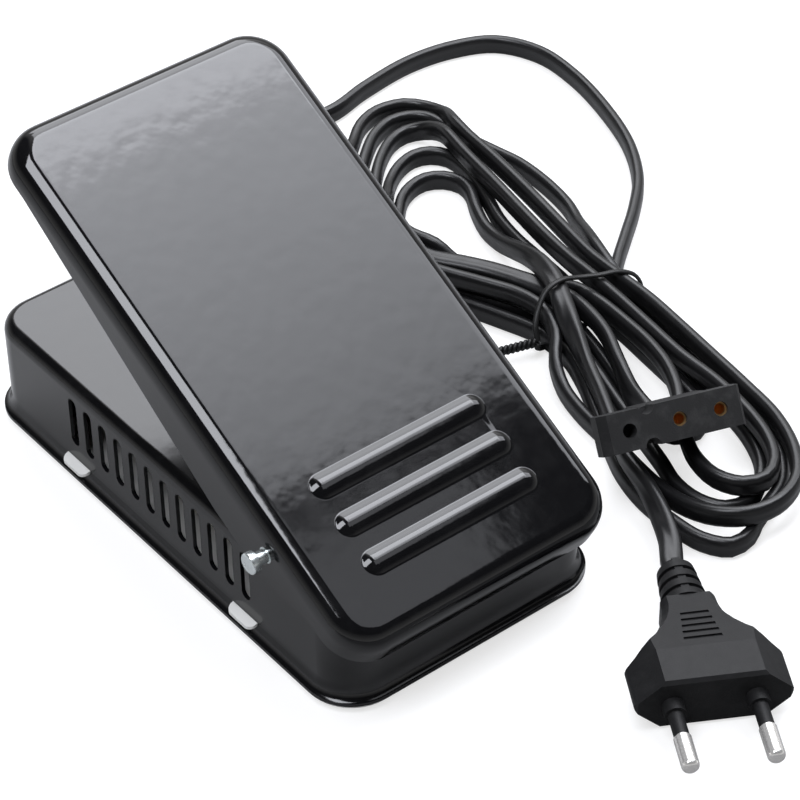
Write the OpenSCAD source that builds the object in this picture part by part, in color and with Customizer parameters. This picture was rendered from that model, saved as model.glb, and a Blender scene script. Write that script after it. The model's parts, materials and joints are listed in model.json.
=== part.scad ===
// Foot pedal for a sewing machine: a pressed steel treadle that turns on a pin over a
// low steel casing, with a carbon pile speed control inside and two flat leads at the back.
// Millimetres. +X is to the right, -Y is the low front end, +Z is up, and the floor is at Z = 0.

/* [Casing] */
// Width over the side walls
casing_w = 72; // [68:0.5:76]
// Length over the end walls
casing_l = 138; // [134:1:146]
// Height from the underside of the lip to the top
casing_h = 26.3; // [25.8:0.1:26.5]
// Thickness of the casing sheet
casing_t = 1; // [0.8:0.1:1.2]
// Corner radius in plan
casing_r = 10; // [8:0.5:12]
// Radius of the top edge
casing_edge = 3; // [2.5:0.25:4]
// How far the lip flares out past the walls
lip_w = 2; // [1.6:0.1:2.4]
// Height at which the flare leaves the wall
lip_h = 5; // [4:0.5:6]
// Height of the upright edge of the lip
lip_edge = 0.9; // [0.7:0.1:1.1]

/* [Vent slots] */
// Number of slots in each side wall
slot_count = 12; // [8:1:12]
// Width of a slot
slot_w = 3.2; // [2.4:0.2:3.6]
// Height of a slot
slot_h = 13.8; // [10:0.2:15]
// Spacing of the slots
slot_pitch = 6.13; // [5:0.01:6.3]
// Height of the slots' middle above the lip's underside
slot_z = 15.3; // [13:0.1:16]

/* [Bottom plate and feet] */
// Thickness of the bottom plate
plate_t = 0.8; // [0.6:0.1:1]
// How far the plate stays inside the lip's edge
plate_inset = 0.5; // [0.3:0.1:1]
// Length of a tab along the wall
tab_l = 9.2; // [7:0.2:11]
// Spacing of the tabs along a side
tab_pitch = 66; // [60:1:72]
// Height of a tab's middle above the lip's underside
tab_z = 3.4; // [3:0.1:4]
// How far a tab stands out of the wall
tab_out = 2.3; // [1.8:0.1:2.6]
// How far a tab's tip is bent down
tab_droop = 0.7; // [0.4:0.1:1]
// Corner radius of a tab
tab_r = 2; // [1.2:0.2:2.2]
// Clearance of a tab in its slot
tab_fit = 0.15; // [0.1:0.05:0.3]
// Diameter of a rubber foot
foot_d = 12; // [9:0.5:14]
// Height of a foot below the plate
foot_h = 1.2; // [1:0.1:3]
// Diameter of the stem that holds a foot in the plate
foot_stem = 4; // [3:0.5:5]
// Diameter of the barb that keeps a foot in the plate
foot_barb = 6; // [5.5:0.5:7]
// Distance of a foot's middle from the side wall
foot_side = 11; // [9:0.5:14]
// Distance of a foot's middle from the end wall
foot_end = 15; // [12:0.5:20]

/* [Treadle] */
// How far the skirts stand out past the casing at each side
treadle_over = 1.7; // [1.5:0.1:4]
// Thickness of the treadle sheet
treadle_t = 1.2; // [1:0.1:1.4]
// Corner radius in plan
treadle_r = 10.5; // [8:0.5:13]
// Radius of the top edge
treadle_edge = 5; // [3:0.5:6]
// Slope of the tread at rest, in degrees
slope = 26.7; // [26:0.1:28]
// Reach of the tread in front of the pivot, along the slope
nose = 32.2; // [31.5:0.1:35]
// Reach of the tread behind the pivot, along the slope
tail = 112.3; // [100:0.1:120]
// Height of the tread's face above the pivot, square to the slope
rise = 7.85; // [7.6:0.05:9.5]
// Depth of the skirt at the back end
skirt_back = 6.5; // [5.5:0.5:9]
// Depth of the skirt round the pivot
skirt_ear = 16; // [14.5:0.5:18]
// Depth of the skirt at the front end
skirt_front = 9; // [7:0.5:11]
// Length of the shallow skirt at the back end
skirt_back_l = 14; // [8:1:20]
// Length of the front skirt
skirt_front_l = 16.6; // [14:0.2:20]
// Reach of the skirt's deepest part behind the pivot
ear_behind = 16.5; // [12:0.5:20]
// Reach of the skirt's deepest part in front of the pivot
ear_ahead = 3.5; // [3:0.5:8]
// Angle that the treadle turns when pressed, in degrees
travel = 17; // [10:1:17]

/* [Tread ribs] */
// Number of ribs
rib_count = 3; // [1:1:3]
// Length of a rib over its round ends
rib_l = 52.5; // [40:0.5:54]
// Radius of a rib's round section
rib_r = 5.5; // [4.8:0.1:6]
// Height of a rib above the tread
rib_h = 1.2; // [0.8:0.1:1.4]
// Spacing of the ribs
rib_pitch = 10.2; // [9:0.1:10.6]
// Place of the rear rib behind the pivot, along the slope
rib_first = 5.3; // [2:0.1:7]

/* [Pivot] */
// Distance of the pivot behind the front wall
pivot_in = 24.4; // [23.5:0.1:25]
// Height of the pivot above the lip's underside
pivot_h = 30.5; // [30.2:0.1:31.5]
// Diameter of the pivot pin
pin_d = 4; // [3.5:0.1:5]
// Diameter of the pin's head
pin_head_d = 5.2; // [4.8:0.1:6]
// Length of the head
pin_head_l = 2.4; // [2:0.1:3.5]
// Rounding of the head's edges
pin_edge = 0.5; // [0.3:0.1:0.8]
// Diameter of the neck under the head
pin_neck_d = 3.3; // [2.8:0.1:3.5]
// Length of the neck between the skirt and the head
pin_neck_l = 2.4; // [1.5:0.1:3]
// Diameter of the cap on the pin's right end
pin_cap_d = 5.2; // [4.8:0.1:5.4]
// Thickness of that cap
pin_cap_t = 0.65; // [0.5:0.05:0.8]
// Gap between the cap and the skirt
pin_cap_gap = 0.15; // [0.1:0.05:0.2]
// Diameter of the spacers on the pin
spacer_d = 7; // [6:0.5:7.5]
// Radial clearance of a running fit
run_fit = 0.05; // [0.03:0.01:0.08]
// Gap between parts that pass each other
pass_gap = 0.3; // [0.25:0.05:0.5]
// Thickness of the hinge bracket
bracket_t = 1.5; // [1.2:0.1:2]
// How far the bracket's ears stand inside the casing's sides
bracket_inset = 3.5; // [3.5:0.5:8]
// Width of an ear
ear_w = 11; // [9:0.5:12]

/* [Return spring and actuator] */
// Thickness of the actuator strip
strip_t = 1.5; // [1.2:0.1:1.8]
// Width of the actuator strip
strip_w = 14; // [12:0.5:16]
// Distance of the tongue's front face behind the pivot
tongue_back = 10; // [9:0.5:11]
// Depth of the tongue's tip below the pivot
tongue_drop = 22.5; // [22:0.1:23.5]
// Clearance round the tongue in the casing's slot
tongue_gap = 1; // [0.6:0.1:1.4]
// Length of the flange welded under the tread
flange_l = 16; // [12:1:24]
// Length of the spring at rest
spring_l = 14; // [12.5:0.5:14.5]
// Outside diameter of the spring
spring_d = 10; // [9:0.5:11]
// Diameter of the spring's wire
spring_wire = 1; // [0.8:0.1:1.2]
// Number of turns
spring_turns = 4.5; // [4:0.5:5]
// Distance of the spring behind the pivot
spring_back = 19; // [18.5:0.5:20]
// Height of the bosses that centre the spring
boss_h = 1.6; // [1:0.1:2]
// Clearance of the bosses inside the spring
boss_gap = 0.5; // [0.3:0.1:0.8]

/* [Carbon pile] */
// Width of the ceramic block
block_w = 30; // [28:1:32]
// Height of the block above the bottom plate
block_h = 18; // [17.5:0.5:20]
// Distance of the block's front face behind the pivot
block_back = 21.5; // [20:0.5:24]
// Width of the ledge at each side that carries the yoke
ledge_w = 8; // [7:0.5:10]
// Spacing of the two bores
bore_pitch = 15; // [13:0.5:16]
// Diameter of a carbon disc
disc_d = 8; // [7:0.2:9]
// Thickness of a carbon disc
disc_t = 1.8; // [1.5:0.1:2]
// Slack between two discs while the pile is not pressed
disc_gap = 0.05; // [0.02:0.01:0.08]
// Diameter of the pressure caps outside the block
cap_d = 6; // [5:0.5:7]
// How far the pressure caps stand out of the block
cap_out = 2; // [1:0.2:3]
// Thickness of the brass end tabs
tab_t = 1; // [0.8:0.1:1.4]
// How far a tab's middle stands above its bore
tab_up = 0.5; // [0:0.1:0.6]
// How far a tab stands past its bore all round
tab_over = 1; // [0.8:0.1:1.2]
// Room in a bore for the foot of a pressure cap
cap_in = 4; // [3:0.5:6]
// How deep an end contact sits in its bore
contact_in = 2; // [1.6:0.1:2.4]
// Corner radius of the block and of the flat brass pieces
block_r = 2; // [1:0.5:2.5]
// Depth of the hollow in the block's top
block_relief = 2; // [1:0.5:2.5]

/* [Contact yoke] */
// Diameter of the front bar and height of the rails
bar_d = 5; // [4:0.5:6]
// Depth of the bar's middle below the pivot
bar_drop = 18.5; // [18.3:0.1:18.8]
// Gap between the tongue and the bar
bar_gap = 0.4; // [0.3:0.1:0.6]
// Width of a rail
rail_w = 3; // [2.5:0.5:4]
// Gap between the block and a rail
rail_gap = 3.5; // [2:0.5:4]
// Thickness of the rear crossbar
cross_t = 4; // [3:0.5:6]
// Height of the rear crossbar
cross_h = 7; // [6:0.5:8]
// Thickness of the brass bridge
bridge_t = 1.2; // [0.8:0.1:1.6]
// Diameter of the bridge's contact buttons
button_d = 5; // [4:0.5:6]
// Height of the contact buttons
button_h = 1.2; // [0.8:0.1:2]
// Gap between the buttons and the caps at rest
contact_gap = 5.6; // [5.5:0.1:7]

/* [Leads and clamp] */
// Width of the flat lead
lead_w = 5.4; // [5:0.1:5.6]
// Thickness of the flat lead
lead_t = 3.4; // [3:0.1:3.6]
// Spacing of the two leads where they leave the casing
lead_pitch = 12; // [11.6:0.1:13]
// Height of the leads' exits above the lip's underside
lead_z = 12; // [10.5:0.5:14]
// Radial clearance of a lead in its sleeve
lead_fit = 0.2; // [0.1:0.05:0.4]
// Length of the tapered sleeve outside the wall
sleeve_l = 24; // [20:1:30]
// Diameter of the sleeve at the wall
sleeve_d = 8.5; // [8:0.1:9]
// Diameter of the sleeve at its thin end
sleeve_tip = 6.8; // [6.6:0.1:7.6]
// Diameter of the flanges that hold the sleeve in the wall
flange_d = 11; // [10:0.1:11.2]
// Thickness of those flanges
flange_t = 1.5; // [1:0.1:2]
// Distance of the clamp in front of the back wall
clamp_in = 22; // [20:1:26]
// Depth of the clamp along the leads
clamp_d = 10; // [8:1:12]
// Width of the clamp beside each lead
clamp_side = 4; // [3:0.5:5]
// Thickness of the clamp's strap
clamp_t = 2; // [1.5:0.5:3]
// Room for the wires between the yoke and the clamp
wire_room = 9.2; // [8:0.2:12]
// Radius of an inner wire
wire_r = 1; // [0.8:0.1:1.2]
// Gap between a wire and what it lies on
wire_fit = 0.15; // [0.1:0.05:0.3]

/* [Screws] */
// Shank diameter of the screws
screw_d = 3; // [2.5:0.5:3.5]
// Head diameter
screw_head_d = 5.6; // [5:0.2:6]
// Head height
screw_head_h = 0.9; // [0.7:0.1:1]
// Depth of a screw in the block
screw_l = 6; // [5:0.5:7]

/* [Mains plug] */
// Width of the plug over the points of its six sided section
plug_w = 35.3; // [34:0.1:36]
// Width of the flat top and bottom
plug_flat = 22; // [21:0.5:25]
// Thickness of the plug
plug_t = 13.7; // [13:0.1:14]
// Radius of the section's points
plug_tip_r = 2; // [1:0.2:3]
// Bevel round the face
plug_bevel = 0.8; // [0.5:0.1:1.2]
// Length of the part with full thickness behind the face
plug_face_l = 10.5; // [9:0.5:12]
// Length from the face to the end of the shoulders
plug_body_l = 28.5; // [27.5:0.5:30]
// Radius of the sweep of the shoulders
plug_sweep = 19; // [18:0.5:20.5]
// Width of the neck
plug_neck = 12.4; // [11.6:0.2:13]
// Thickness of the neck
plug_neck_t = 10; // [9.4:0.2:11]
// How far the rounding of the neck leaves its corners
plug_corner = 0.8; // [0.4:0.1:1.2]
// Length of the ribbed sleeve behind the neck
plug_sleeve_l = 13; // [12:0.5:14]
// Diameter of the sleeve at the neck
plug_sleeve_d = 11; // [10.4:0.1:11.4]
// Diameter of the sleeve at its end
plug_sleeve_end = 8.6; // [8:0.1:9.4]
// Number of rings on the sleeve
ring_count = 4; // [3:1:5]
// Width of a groove between two rings
ring_gap = 1.1; // [0.8:0.1:1.5]
// Depth of those grooves
ring_depth = 0.8; // [0.5:0.1:1]
// Width of the spine that crosses the grooves
spine_w = 1.8; // [1.4:0.2:2.4]
// Number of grip lines
grip_count = 5; // [3:1:5]
// Distance of the first grip line from the face
grip_from = 13.2; // [12.4:0.2:14]
// Spacing of the grip lines
grip_pitch = 2.1; // [1.8:0.1:2.3]
// Length of the first grip line
grip_l = 8.6; // [7:0.2:10]
// How much shorter each next line is
grip_less = 0.55; // [0.3:0.05:0.8]
// Width of a grip line
grip_w = 0.9; // [0.6:0.1:1.2]
// Depth of a grip line
grip_d = 0.5; // [0.3:0.1:0.8]
// Spacing of the plug's prongs at the face
prong_pitch = 18.6; // [18:0.1:19]
// Diameter of a prong's bare tip
prong_d = 4; // [3.9:0.02:4.06]
// Length of a prong
prong_l = 19; // [18:0.5:19.5]
// Rounding of a prong's end
prong_round = 1.2; // [0.8:0.1:1.5]
// Length of the insulated part of a prong
prong_skin_l = 10; // [9:0.5:11]
// Diameter of the insulated part
prong_skin_d = 3.5; // [3.3:0.1:3.6]
// How deep the insulated part sits in the plug
prong_in = 6; // [4:0.5:8]
// Diameter of the collar round a prong at the face
collar_d = 5; // [4.4:0.2:6]
// Length of that collar
collar_l = 3.2; // [2:0.2:4]

/* [Motor connector] */
// Width of the connector's flat face
conn_w = 32.4; // [31:0.2:34]
// Thickness of the connector
conn_t = 9.4; // [9:0.1:10.2]
// Bevel at the face's left end
conn_bevel = 2; // [1.5:0.1:2.5]
// Bevel at the face's right end
conn_bevel_right = 0.7; // [0.5:0.1:1]
// Depth of the front part behind the face
conn_front = 6; // [5:0.5:7]
// Depth of the whole connector
conn_l = 17; // [15:0.5:18]
// Width of the housing behind the front part
conn_house_w = 20; // [19:0.5:21]
// Place of that housing's middle along the face
conn_house_x = 3.4; // [3:0.1:4]
// Corner radius of the housing
conn_house_r = 1.5; // [1:0.1:2]
// How much thinner than the front part the housing is
conn_step = 0.6; // [0.4:0.1:1]
// Length of the neck behind the housing
conn_neck_l = 2; // [1.5:0.5:3]
// Diameter of the neck at its end
conn_neck_d = 7.4; // [7:0.1:8]
// Spacing of the blank hole and the middle socket
conn_pitch_a = 12.5; // [12:0.1:12.8]
// Spacing of the middle and the outer sockets
conn_pitch_b = 10.2; // [9.8:0.1:10.4]
// Place of the middle socket along the face
conn_shift = 1.2; // [1:0.1:1.4]
// Radius of the notches in the long edges
conn_notch = 1.9; // [1.4:0.1:2.1]
// Place of the notches along the face
conn_notch_x = -6.3; // [-7:0.1:-5.5]
// Diameter of the holes in the face
conn_hole = 3.4; // [3.2:0.1:3.6]
// Depth of the blank hole
conn_blank = 5; // [3:0.5:5]
// How far the sockets lie below the face
socket_sink = 1; // [0.5:0.1:1.5]
// Bore of the brass sockets
socket_bore = 2.6; // [2.2:0.1:2.7]
// Length of the brass sockets
socket_l = 9; // [7:0.5:10]
// Thickness of a socket's closed end
socket_end = 1; // [0.6:0.1:1.5]

/* [Hank] */
// Width of the hank of tied leads
hank_w = 34; // [33:0.5:38]
// Length between the middles of its round ends
hank_l = 154; // [150:1:160]
// Height of the hank
hank_h = 9; // [8:0.5:11]
// Thickness of the tie
tie_t = 1.6; // [1.2:0.1:2]
// Width of the tie
tie_w = 1.8; // [1.4:0.2:2.4]
// Place of the tie along the hank
tie_y = -6; // [-8:0.5:-2]
// Length of the tie's twisted tail
tie_tail = 14; // [10:1:18]

/* [Hidden] */

round_fn = 64;
small_fn = 32;
eps = 0.01;
past = 1;
flare_steps = 5;

// Heights of the casing
lip_z = foot_h + plate_t;
top_z = lip_z + casing_h;
ceiling_z = top_z - casing_t;

// Place of the casing along Y, so that the pedal is centred over the origin
nose_drop = (nose - treadle_edge)*cos(slope) + (rise - treadle_edge)*sin(slope) + treadle_edge;
nose_y = pivot_in - casing_l/2 - nose_drop;
back_y = casing_l/2 + lip_w;
casing_y = -(nose_y + back_y)/2;
front_wall = casing_y - casing_l/2;
back_wall = casing_y + casing_l/2;

// Pivot and the treadle's inner sizes
pivot_y = front_wall + pivot_in;
pivot_z = lip_z + pivot_h;
treadle_w = casing_w + 2*treadle_over;
treadle_l = nose + tail;
bracket_w = casing_w - 2*bracket_inset;
skirt_in = treadle_w/2 - treadle_t;
under = rise - treadle_t;

// Pin ends: the head stands out at the left, and the cap lies close to the skirt at the right
head_x = treadle_w/2 + pin_neck_l;
pin_x = head_x + pin_head_l;
pin_cap_x = treadle_w/2 + pin_cap_gap;
pin_cap_end = pin_cap_x + pin_cap_t;
pin_cap_floor = pin_cap_x + pin_cap_t/2;

// Places of the feet, and the shift in X that centres the pedal between the ends of its pin
foot_x = casing_w - 2*foot_side;
foot_y = casing_l - 2*foot_end;
middle_x = (pin_x - pin_cap_end)/2;

// Actuator, yoke and block
shelf_z = top_z + spring_l;
spring_y = pivot_y + spring_back;
tongue_y = pivot_y + tongue_back;
shelf_end = spring_y + spring_d/2 + boss_gap;
bar_y = tongue_y - bar_gap - bar_d/2;
bar_z = pivot_z - bar_drop;
block_y = pivot_y + block_back;
yoke_room = cap_out + contact_gap + button_h + bridge_t + cross_t + screw_head_h;
block_l = casing_l - pivot_in - block_back - yoke_room - clamp_in - clamp_d - wire_room;
disc_count = floor((block_l - contact_in - cap_in)/(disc_t + disc_gap));
bore_x = bore_pitch/2;
bore_d = disc_d + 2*run_fit;
rail_x = block_w/2 + rail_gap;
ledge_h = bar_z - bar_d/2 - pass_gap - lip_z;
stack_l = disc_count*(disc_t + disc_gap);
cap_y = block_y + contact_in + stack_l;
cap_end = block_y + block_l + cap_out;
button_y = cap_end + contact_gap;
bridge_y = button_y + button_h;
cross_y = bridge_y + bridge_t;
ledge_screw_x = block_w/2 + ledge_w/2;

// Leads inside the casing, at the right end of the back wall's flat part
lead_axis_z = lip_z + lead_z;
motor_x = casing_w/2 - casing_r - flange_d/2;
mains_x = motor_x - lead_pitch;
lead_mid = (mains_x + motor_x)/2;
clamp_y = back_wall - clamp_in;
lead_start = clamp_y - clamp_d;
clamp_w = lead_pitch + lead_w + 2*clamp_side;

// Hank, tie, plug and connector places on the floor
hank_at = [92, 9.5];
hank_turn = -8.2;
plug_at = [25.6, -118, plug_t/2];
plug_turn = -30;
conn_at = [69.1, -56.4, 22];
conn_turn = -19.2;
conn_up = 39;

// Free stretches of the leads, chosen by hand along the floor
mains_route = [[mains_x, lead_start, lead_axis_z], [mains_x, clamp_y + clamp_d, lead_axis_z],
    [mains_x, back_wall + 4, lead_axis_z], [mains_x, back_wall + sleeve_l - 5, lead_axis_z],
    [10, 102, 13], [14, 110, 11], [22, 117, 8], [33, 120.5, 5.3], [48, 120.5, 3.5], [72, 117, 2.2],
    [98, 113, 2], [112, 116, 2], [129, 118, 2], [143, 116, 2], [154, 110.5, 2], [160, 99, 2],
    [160, 84, 2], [156, 66, 2], [150, 50, 2], [141.5, 37, 2], [132, 28, 2.4], [123, 21, 3],
    [113.5, 14, 4], [104.5, 5, 5]];
motor_route = [[motor_x, lead_start, lead_axis_z], [motor_x, clamp_y + clamp_d, lead_axis_z],
    [motor_x, back_wall + 4, lead_axis_z], [motor_x, back_wall + sleeve_l - 5, lead_axis_z],
    [22, 100, 13], [26, 107, 10.5], [33, 111.5, 7.5], [41, 113, 5.2], [49, 111, 3.4], [55.5, 105.5, 2.2],
    [59.5, 97, 2], [61.5, 85, 2], [62.5, 69, 2], [64.5, 52, 2], [69, 37, 2.2], [73.5, 25.5, 3],
    [77.5, 15.5, 4], [80.3, 5.5, 5]];
plug_route = [[69.5, -33.5, 5], [66.5, -39.5, 5], [62.5, -47, 5.2], [59.7, -57, 5.7], [55.8, -67, 6.4],
    [51.5, -75, 6.85], [47, -81, 6.85], [44.3, -85.6, 6.85]];

// Points of an arc about [x, y], from angle a to angle b
function arc(x, y, r, a, b, n) = [for (i = [0:n]) let (t = a + (b - a)*i/n) [x + r*cos(t), y + r*sin(t)]];

// A half section and its mirror image, as one closed outline
function both_sides(half, section) = concat([for (p = section) [half + p[0], p[1]]],
    [for (i = [len(section) - 1:-1:0]) [-half - section[i][0], section[i][1]]]);

// Upright section of a pressed tray: from its foot at depth d up to its round top edge
function tray_section(r, edge, d) = concat([[r, -d]], arc(r - edge, -edge, edge, 0, 90, 6));

// Upright section of the casing, with its flared lip
function casing_section(r, edge, h) = concat([[r + lip_w, 0]],
    [for (i = [0:flare_steps]) let (t = 90*i/flare_steps)
        [r + lip_w*(1 - sin(t)), lip_h - (lip_h - lip_edge)*cos(t)]],
    arc(r - edge, h - edge, edge, 0, 90, 6));

// The room inside the casing, one sheet thickness in
function room_section(r, edge, h) = concat([[r + lip_w - casing_t, -past]],
    [for (i = [0:flare_steps]) let (t = 90*i/flare_steps)
        [r - casing_t + lip_w*(1 - sin(t)), lip_h*(1 - cos(t))]],
    arc(r - edge, h - edge, edge - casing_t, 0, 90, 6));

// Frame and ring of points for a tube along a route
function unit(v) = v/norm(v);
function heading(path, i) = unit(path[min(i + 1, len(path) - 1)] - path[max(i - 1, 0)]);
function across(t) = unit(cross(t, [0, 0, 1]));
function tube_ring(p, t, w, h, sides) = let (s = across(t), u = cross(s, t))
    [for (k = [0:sides - 1]) p + s*w/2*cos(360*k/sides) + u*h/2*sin(360*k/sides)];

// Smooth points through a route, n for each of its stretches
function spline(p, i, s) = let (a = p[max(i - 1, 0)], b = p[i], c = p[i + 1], d = p[min(i + 2, len(p) - 1)])
    b + s/2*(c - a) + s*s*(a - 2.5*b + 2*c - d/2) + s*s*s*(1.5*(b - c) + (d - a)/2);
function smooth(route, n) = concat([for (i = [0:len(route) - 2], k = [0:n - 1]) spline(route, i, k/n)],
    [route[len(route) - 1]]);

// One closed tube, w wide and h high, swept along the points of a path
module tube(path, w, h, sides) {
    rings = len(path);
    points = [for (i = [0:rings - 1]) each tube_ring(path[i], heading(path, i), w, h, sides)];
    walls = [for (i = [0:rings - 2], k = [0:sides - 1]) let (j = (k + 1) % sides)
        [i*sides + k, i*sides + j, (i + 1)*sides + j, (i + 1)*sides + k]];
    ends = [[for (k = [sides - 1:-1:0]) k], [for (k = [0:sides - 1]) (rings - 1)*sides + k]];
    polyhedron(points, concat(walls, ends), convexity = 6);
}

// Block with round corners in plan and the given upright section
module round_block(w, l, r, section) {
    last = section[len(section) - 1];
    turned = concat([[0, section[0][1]]], section, [[0, last[1]]]);
    for (x = [-1, 1], y = [-1, 1]) translate([x*(w/2 - r), y*(l/2 - r), 0]) {
        rotate_extrude($fn = round_fn) polygon(turned);
    }
    rotate([90, 0, 0]) linear_extrude(l - 2*r, center = true) polygon(both_sides(w/2 - r, section));
    rotate([90, 0, 90]) linear_extrude(w - 2*r, center = true) polygon(both_sides(l/2 - r, section));
}

// Flat outline with round corners
module round_rect(w, l, r) {
    for (x = [-1, 1], y = [-1, 1]) translate([x*(w/2 - r), y*(l/2 - r)]) circle(r, $fn = round_fn);
    square([w - 2*r, l], center = true);
    square([w, l - 2*r], center = true);
}

// Outline of a slot with round ends, upright
module slot_outline(w, h) {
    for (y = [-1, 1]) translate([0, y*(h - w)/2]) circle(w/2, $fn = small_fn);
    square([w, h - w], center = true);
}

// Cylinder along X or along Y, from a to b on that axis
module along_x(d, a, b) {
    translate([a, 0, 0]) rotate([0, 90, 0]) cylinder(d = d, h = b - a, $fn = small_fn);
}
module along_y(d, a, b) {
    translate([0, a, 0]) rotate([-90, 0, 0]) cylinder(d = d, h = b - a, $fn = small_fn);
}

// Places its children in the treadle's own frame: Y along the slope, Z square to it, from the pivot
module on_tread() { translate([0, pivot_y, pivot_z]) rotate([slope, 0, 0]) children(); }

// Extrudes an outline drawn in Y and Z across the pedal
module across_x(w) { rotate([90, 0, 90]) linear_extrude(w, center = true) children(); }

// Pan head screw standing on Z = 0, with its shank below
module pan_screw(shank) {
    cylinder(d = screw_head_d, h = screw_head_h, $fn = small_fn);
    translate([0, 0, -shank]) cylinder(d = screw_d, h = shank + eps, $fn = small_fn);
}

// Pressed casing: flared lip, vent slots, slot for the tongue, boss for the spring, two lead holes
module base_casing() color([0.03, 0.03, 0.035]) {
    slot_depth = pivot_h - casing_h + casing_t;
    slot_front = tongue_back*cos(travel) - slot_depth*sin(travel) - tongue_gap;
    slot_rear = tongue_back + strip_t + tongue_gap;
    difference() {
        translate([0, casing_y, lip_z]) round_block(casing_w, casing_l, casing_r,
            casing_section(casing_r, casing_edge, casing_h));
        translate([0, casing_y, lip_z]) round_block(casing_w, casing_l, casing_r,
            room_section(casing_r, casing_edge, casing_h));
        for (k = [0:slot_count - 1]) {
            translate([0, casing_y + (k - (slot_count - 1)/2)*slot_pitch, lip_z + slot_z])
                across_x(casing_w + 2*past) slot_outline(slot_w, slot_h);
        }
        for (y = [-1, 1]) {
            translate([0, casing_y + y*tab_pitch/2, lip_z + tab_z])
                cube([2*casing_w, tab_l + 2*tab_fit, plate_t + 2*tab_fit], center = true);
        }
        translate([-strip_w/2 - tongue_gap, pivot_y + slot_front, ceiling_z - past])
            cube([strip_w + 2*tongue_gap, slot_rear - slot_front, casing_t + 2*past]);
        for (x = [mains_x, motor_x]) translate([x, 0, lead_axis_z])
            along_y(sleeve_d, back_wall - casing_t - past, back_wall + past);
    }
    translate([0, spring_y, ceiling_z + eps])
        cylinder(d = spring_d - 2*spring_wire - 2*boss_gap, h = casing_t + boss_h - eps, $fn = small_fn);
}

// Bent tab of the bottom plate, drawn for the right side: up inside the wall and out through its slot
module lip_tab() {
    wall = casing_w/2;
    stand = wall - casing_t - tab_fit - plate_t;
    low = tab_z - plate_t/2;
    high = tab_z + plate_t/2;
    tip = wall + tab_out;
    intersection() {
        rotate([90, 0, 0]) linear_extrude(tab_l, center = true) polygon([[stand, -plate_t],
            [stand + plate_t, -plate_t], [stand + plate_t, low], [wall, low], [tip, low - tab_droop],
            [tip, high - tab_droop], [wall, high], [stand, high]]);
        translate([tip - casing_w/4, 0, -lip_h]) linear_extrude(3*lip_h)
            round_rect(casing_w/2, tab_l, tab_r);
    }
}

// Zinc plated bottom plate, held by four tabs that reach through the casing's wall and are bent down
module bottom_plate() color([0.75, 0.76, 0.78]) {
    plate_r = casing_r + lip_w - plate_inset;
    difference() {
        translate([0, casing_y, lip_z - plate_t]) linear_extrude(plate_t)
            round_rect(casing_w + 2*lip_w - 2*plate_inset, casing_l + 2*lip_w - 2*plate_inset, plate_r);
        for (x = [-1, 1], y = [-1, 1]) translate([x*foot_x/2, casing_y + y*foot_y/2, 0])
            cylinder(d = foot_stem, h = lip_z + past, $fn = small_fn);
        for (x = [-1, 1]) translate([x*ledge_screw_x, block_y + block_l/2, 0])
            cylinder(d = screw_d, h = lip_z + past, $fn = small_fn);
        translate([lead_mid, clamp_y - clamp_d/2, 0])
            cylinder(d = screw_d, h = lip_z + past, $fn = small_fn);
    }
    for (y = [-1, 1]) translate([0, casing_y + y*tab_pitch/2, lip_z]) {
        lip_tab();
        mirror([1, 0, 0]) lip_tab();
    }
}

// Four rubber feet, each with a stem that fills its hole in the plate
module rubber_feet() color([0.08, 0.08, 0.08]) {
    for (x = [-1, 1], y = [-1, 1]) translate([x*foot_x/2, casing_y + y*foot_y/2, 0]) {
        cylinder(d1 = foot_d - foot_h, d2 = foot_d, h = foot_h, $fn = small_fn);
        cylinder(d = foot_stem, h = lip_z, $fn = small_fn);
        translate([0, 0, lip_z]) cylinder(d1 = foot_barb, d2 = foot_stem, h = foot_h, $fn = small_fn);
    }
}

// Bracket welded on the casing's top, with an ear at each side for the pin
module hinge_bracket() color([0.62, 0.63, 0.65]) {
    translate([-bracket_w/2, pivot_y - ear_w/2, top_z]) cube([bracket_w, ear_w, bracket_t]);
    for (x = [-1, 1]) translate([x*(bracket_w - bracket_t)/2, pivot_y, 0]) difference() {
        across_x(bracket_t) {
            translate([0, pivot_z]) circle(ear_w/2, $fn = round_fn);
            translate([-ear_w/2, top_z]) square([ear_w, pivot_z - top_z]);
        }
        translate([0, 0, pivot_z]) along_x(pin_d, -bracket_t, bracket_t);
        translate([-bracket_t, -ear_w, top_z - ear_w]) cube([2*bracket_t, 2*ear_w, ear_w]);
    }
}

// Outline of the pin's head, from the outer face to the neck
function pin_head() = let (r = pin_head_d/2, e = pin_edge)
    concat([[0, -pin_x]], arc(r - e, e - pin_x, e, -90, 0, 4), [[r, -head_x - e], [pin_neck_d/2, -head_x]]);

// Pivot pin with a turned head at the left
module pivot_pin() color([0.78, 0.79, 0.8]) {
    translate([0, pivot_y, pivot_z]) rotate([0, 90, 0]) rotate_extrude($fn = small_fn)
        polygon(concat(pin_head(), [[pin_neck_d/2, -treadle_w/2], [pin_d/2, -treadle_w/2],
            [pin_d/2, treadle_w/2], [pin_neck_d/2, treadle_w/2], [pin_neck_d/2, pin_cap_floor],
            [0, pin_cap_floor]]));
}

// Flat cap pressed on the pin's right end
module pin_cap() color([0.78, 0.79, 0.8]) {
    translate([0, pivot_y, pivot_z]) difference() {
        along_x(pin_cap_d, pin_cap_x, pin_cap_end);
        along_x(pin_neck_d, pin_cap_x - past, pin_cap_floor);
    }
}

// Nylon spacers on the pin, between the bracket's ears and the skirts
module pivot_spacers() color([0.9, 0.88, 0.82]) {
    for (x = [-1, 1]) translate([x*(bracket_w/2 + skirt_in - pass_gap)/2, pivot_y, pivot_z]) difference() {
        half = (skirt_in - pass_gap - bracket_w/2)/2;
        along_x(spacer_d, -half, half);
        along_x(pin_d, -half - past, half + past);
    }
}

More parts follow.
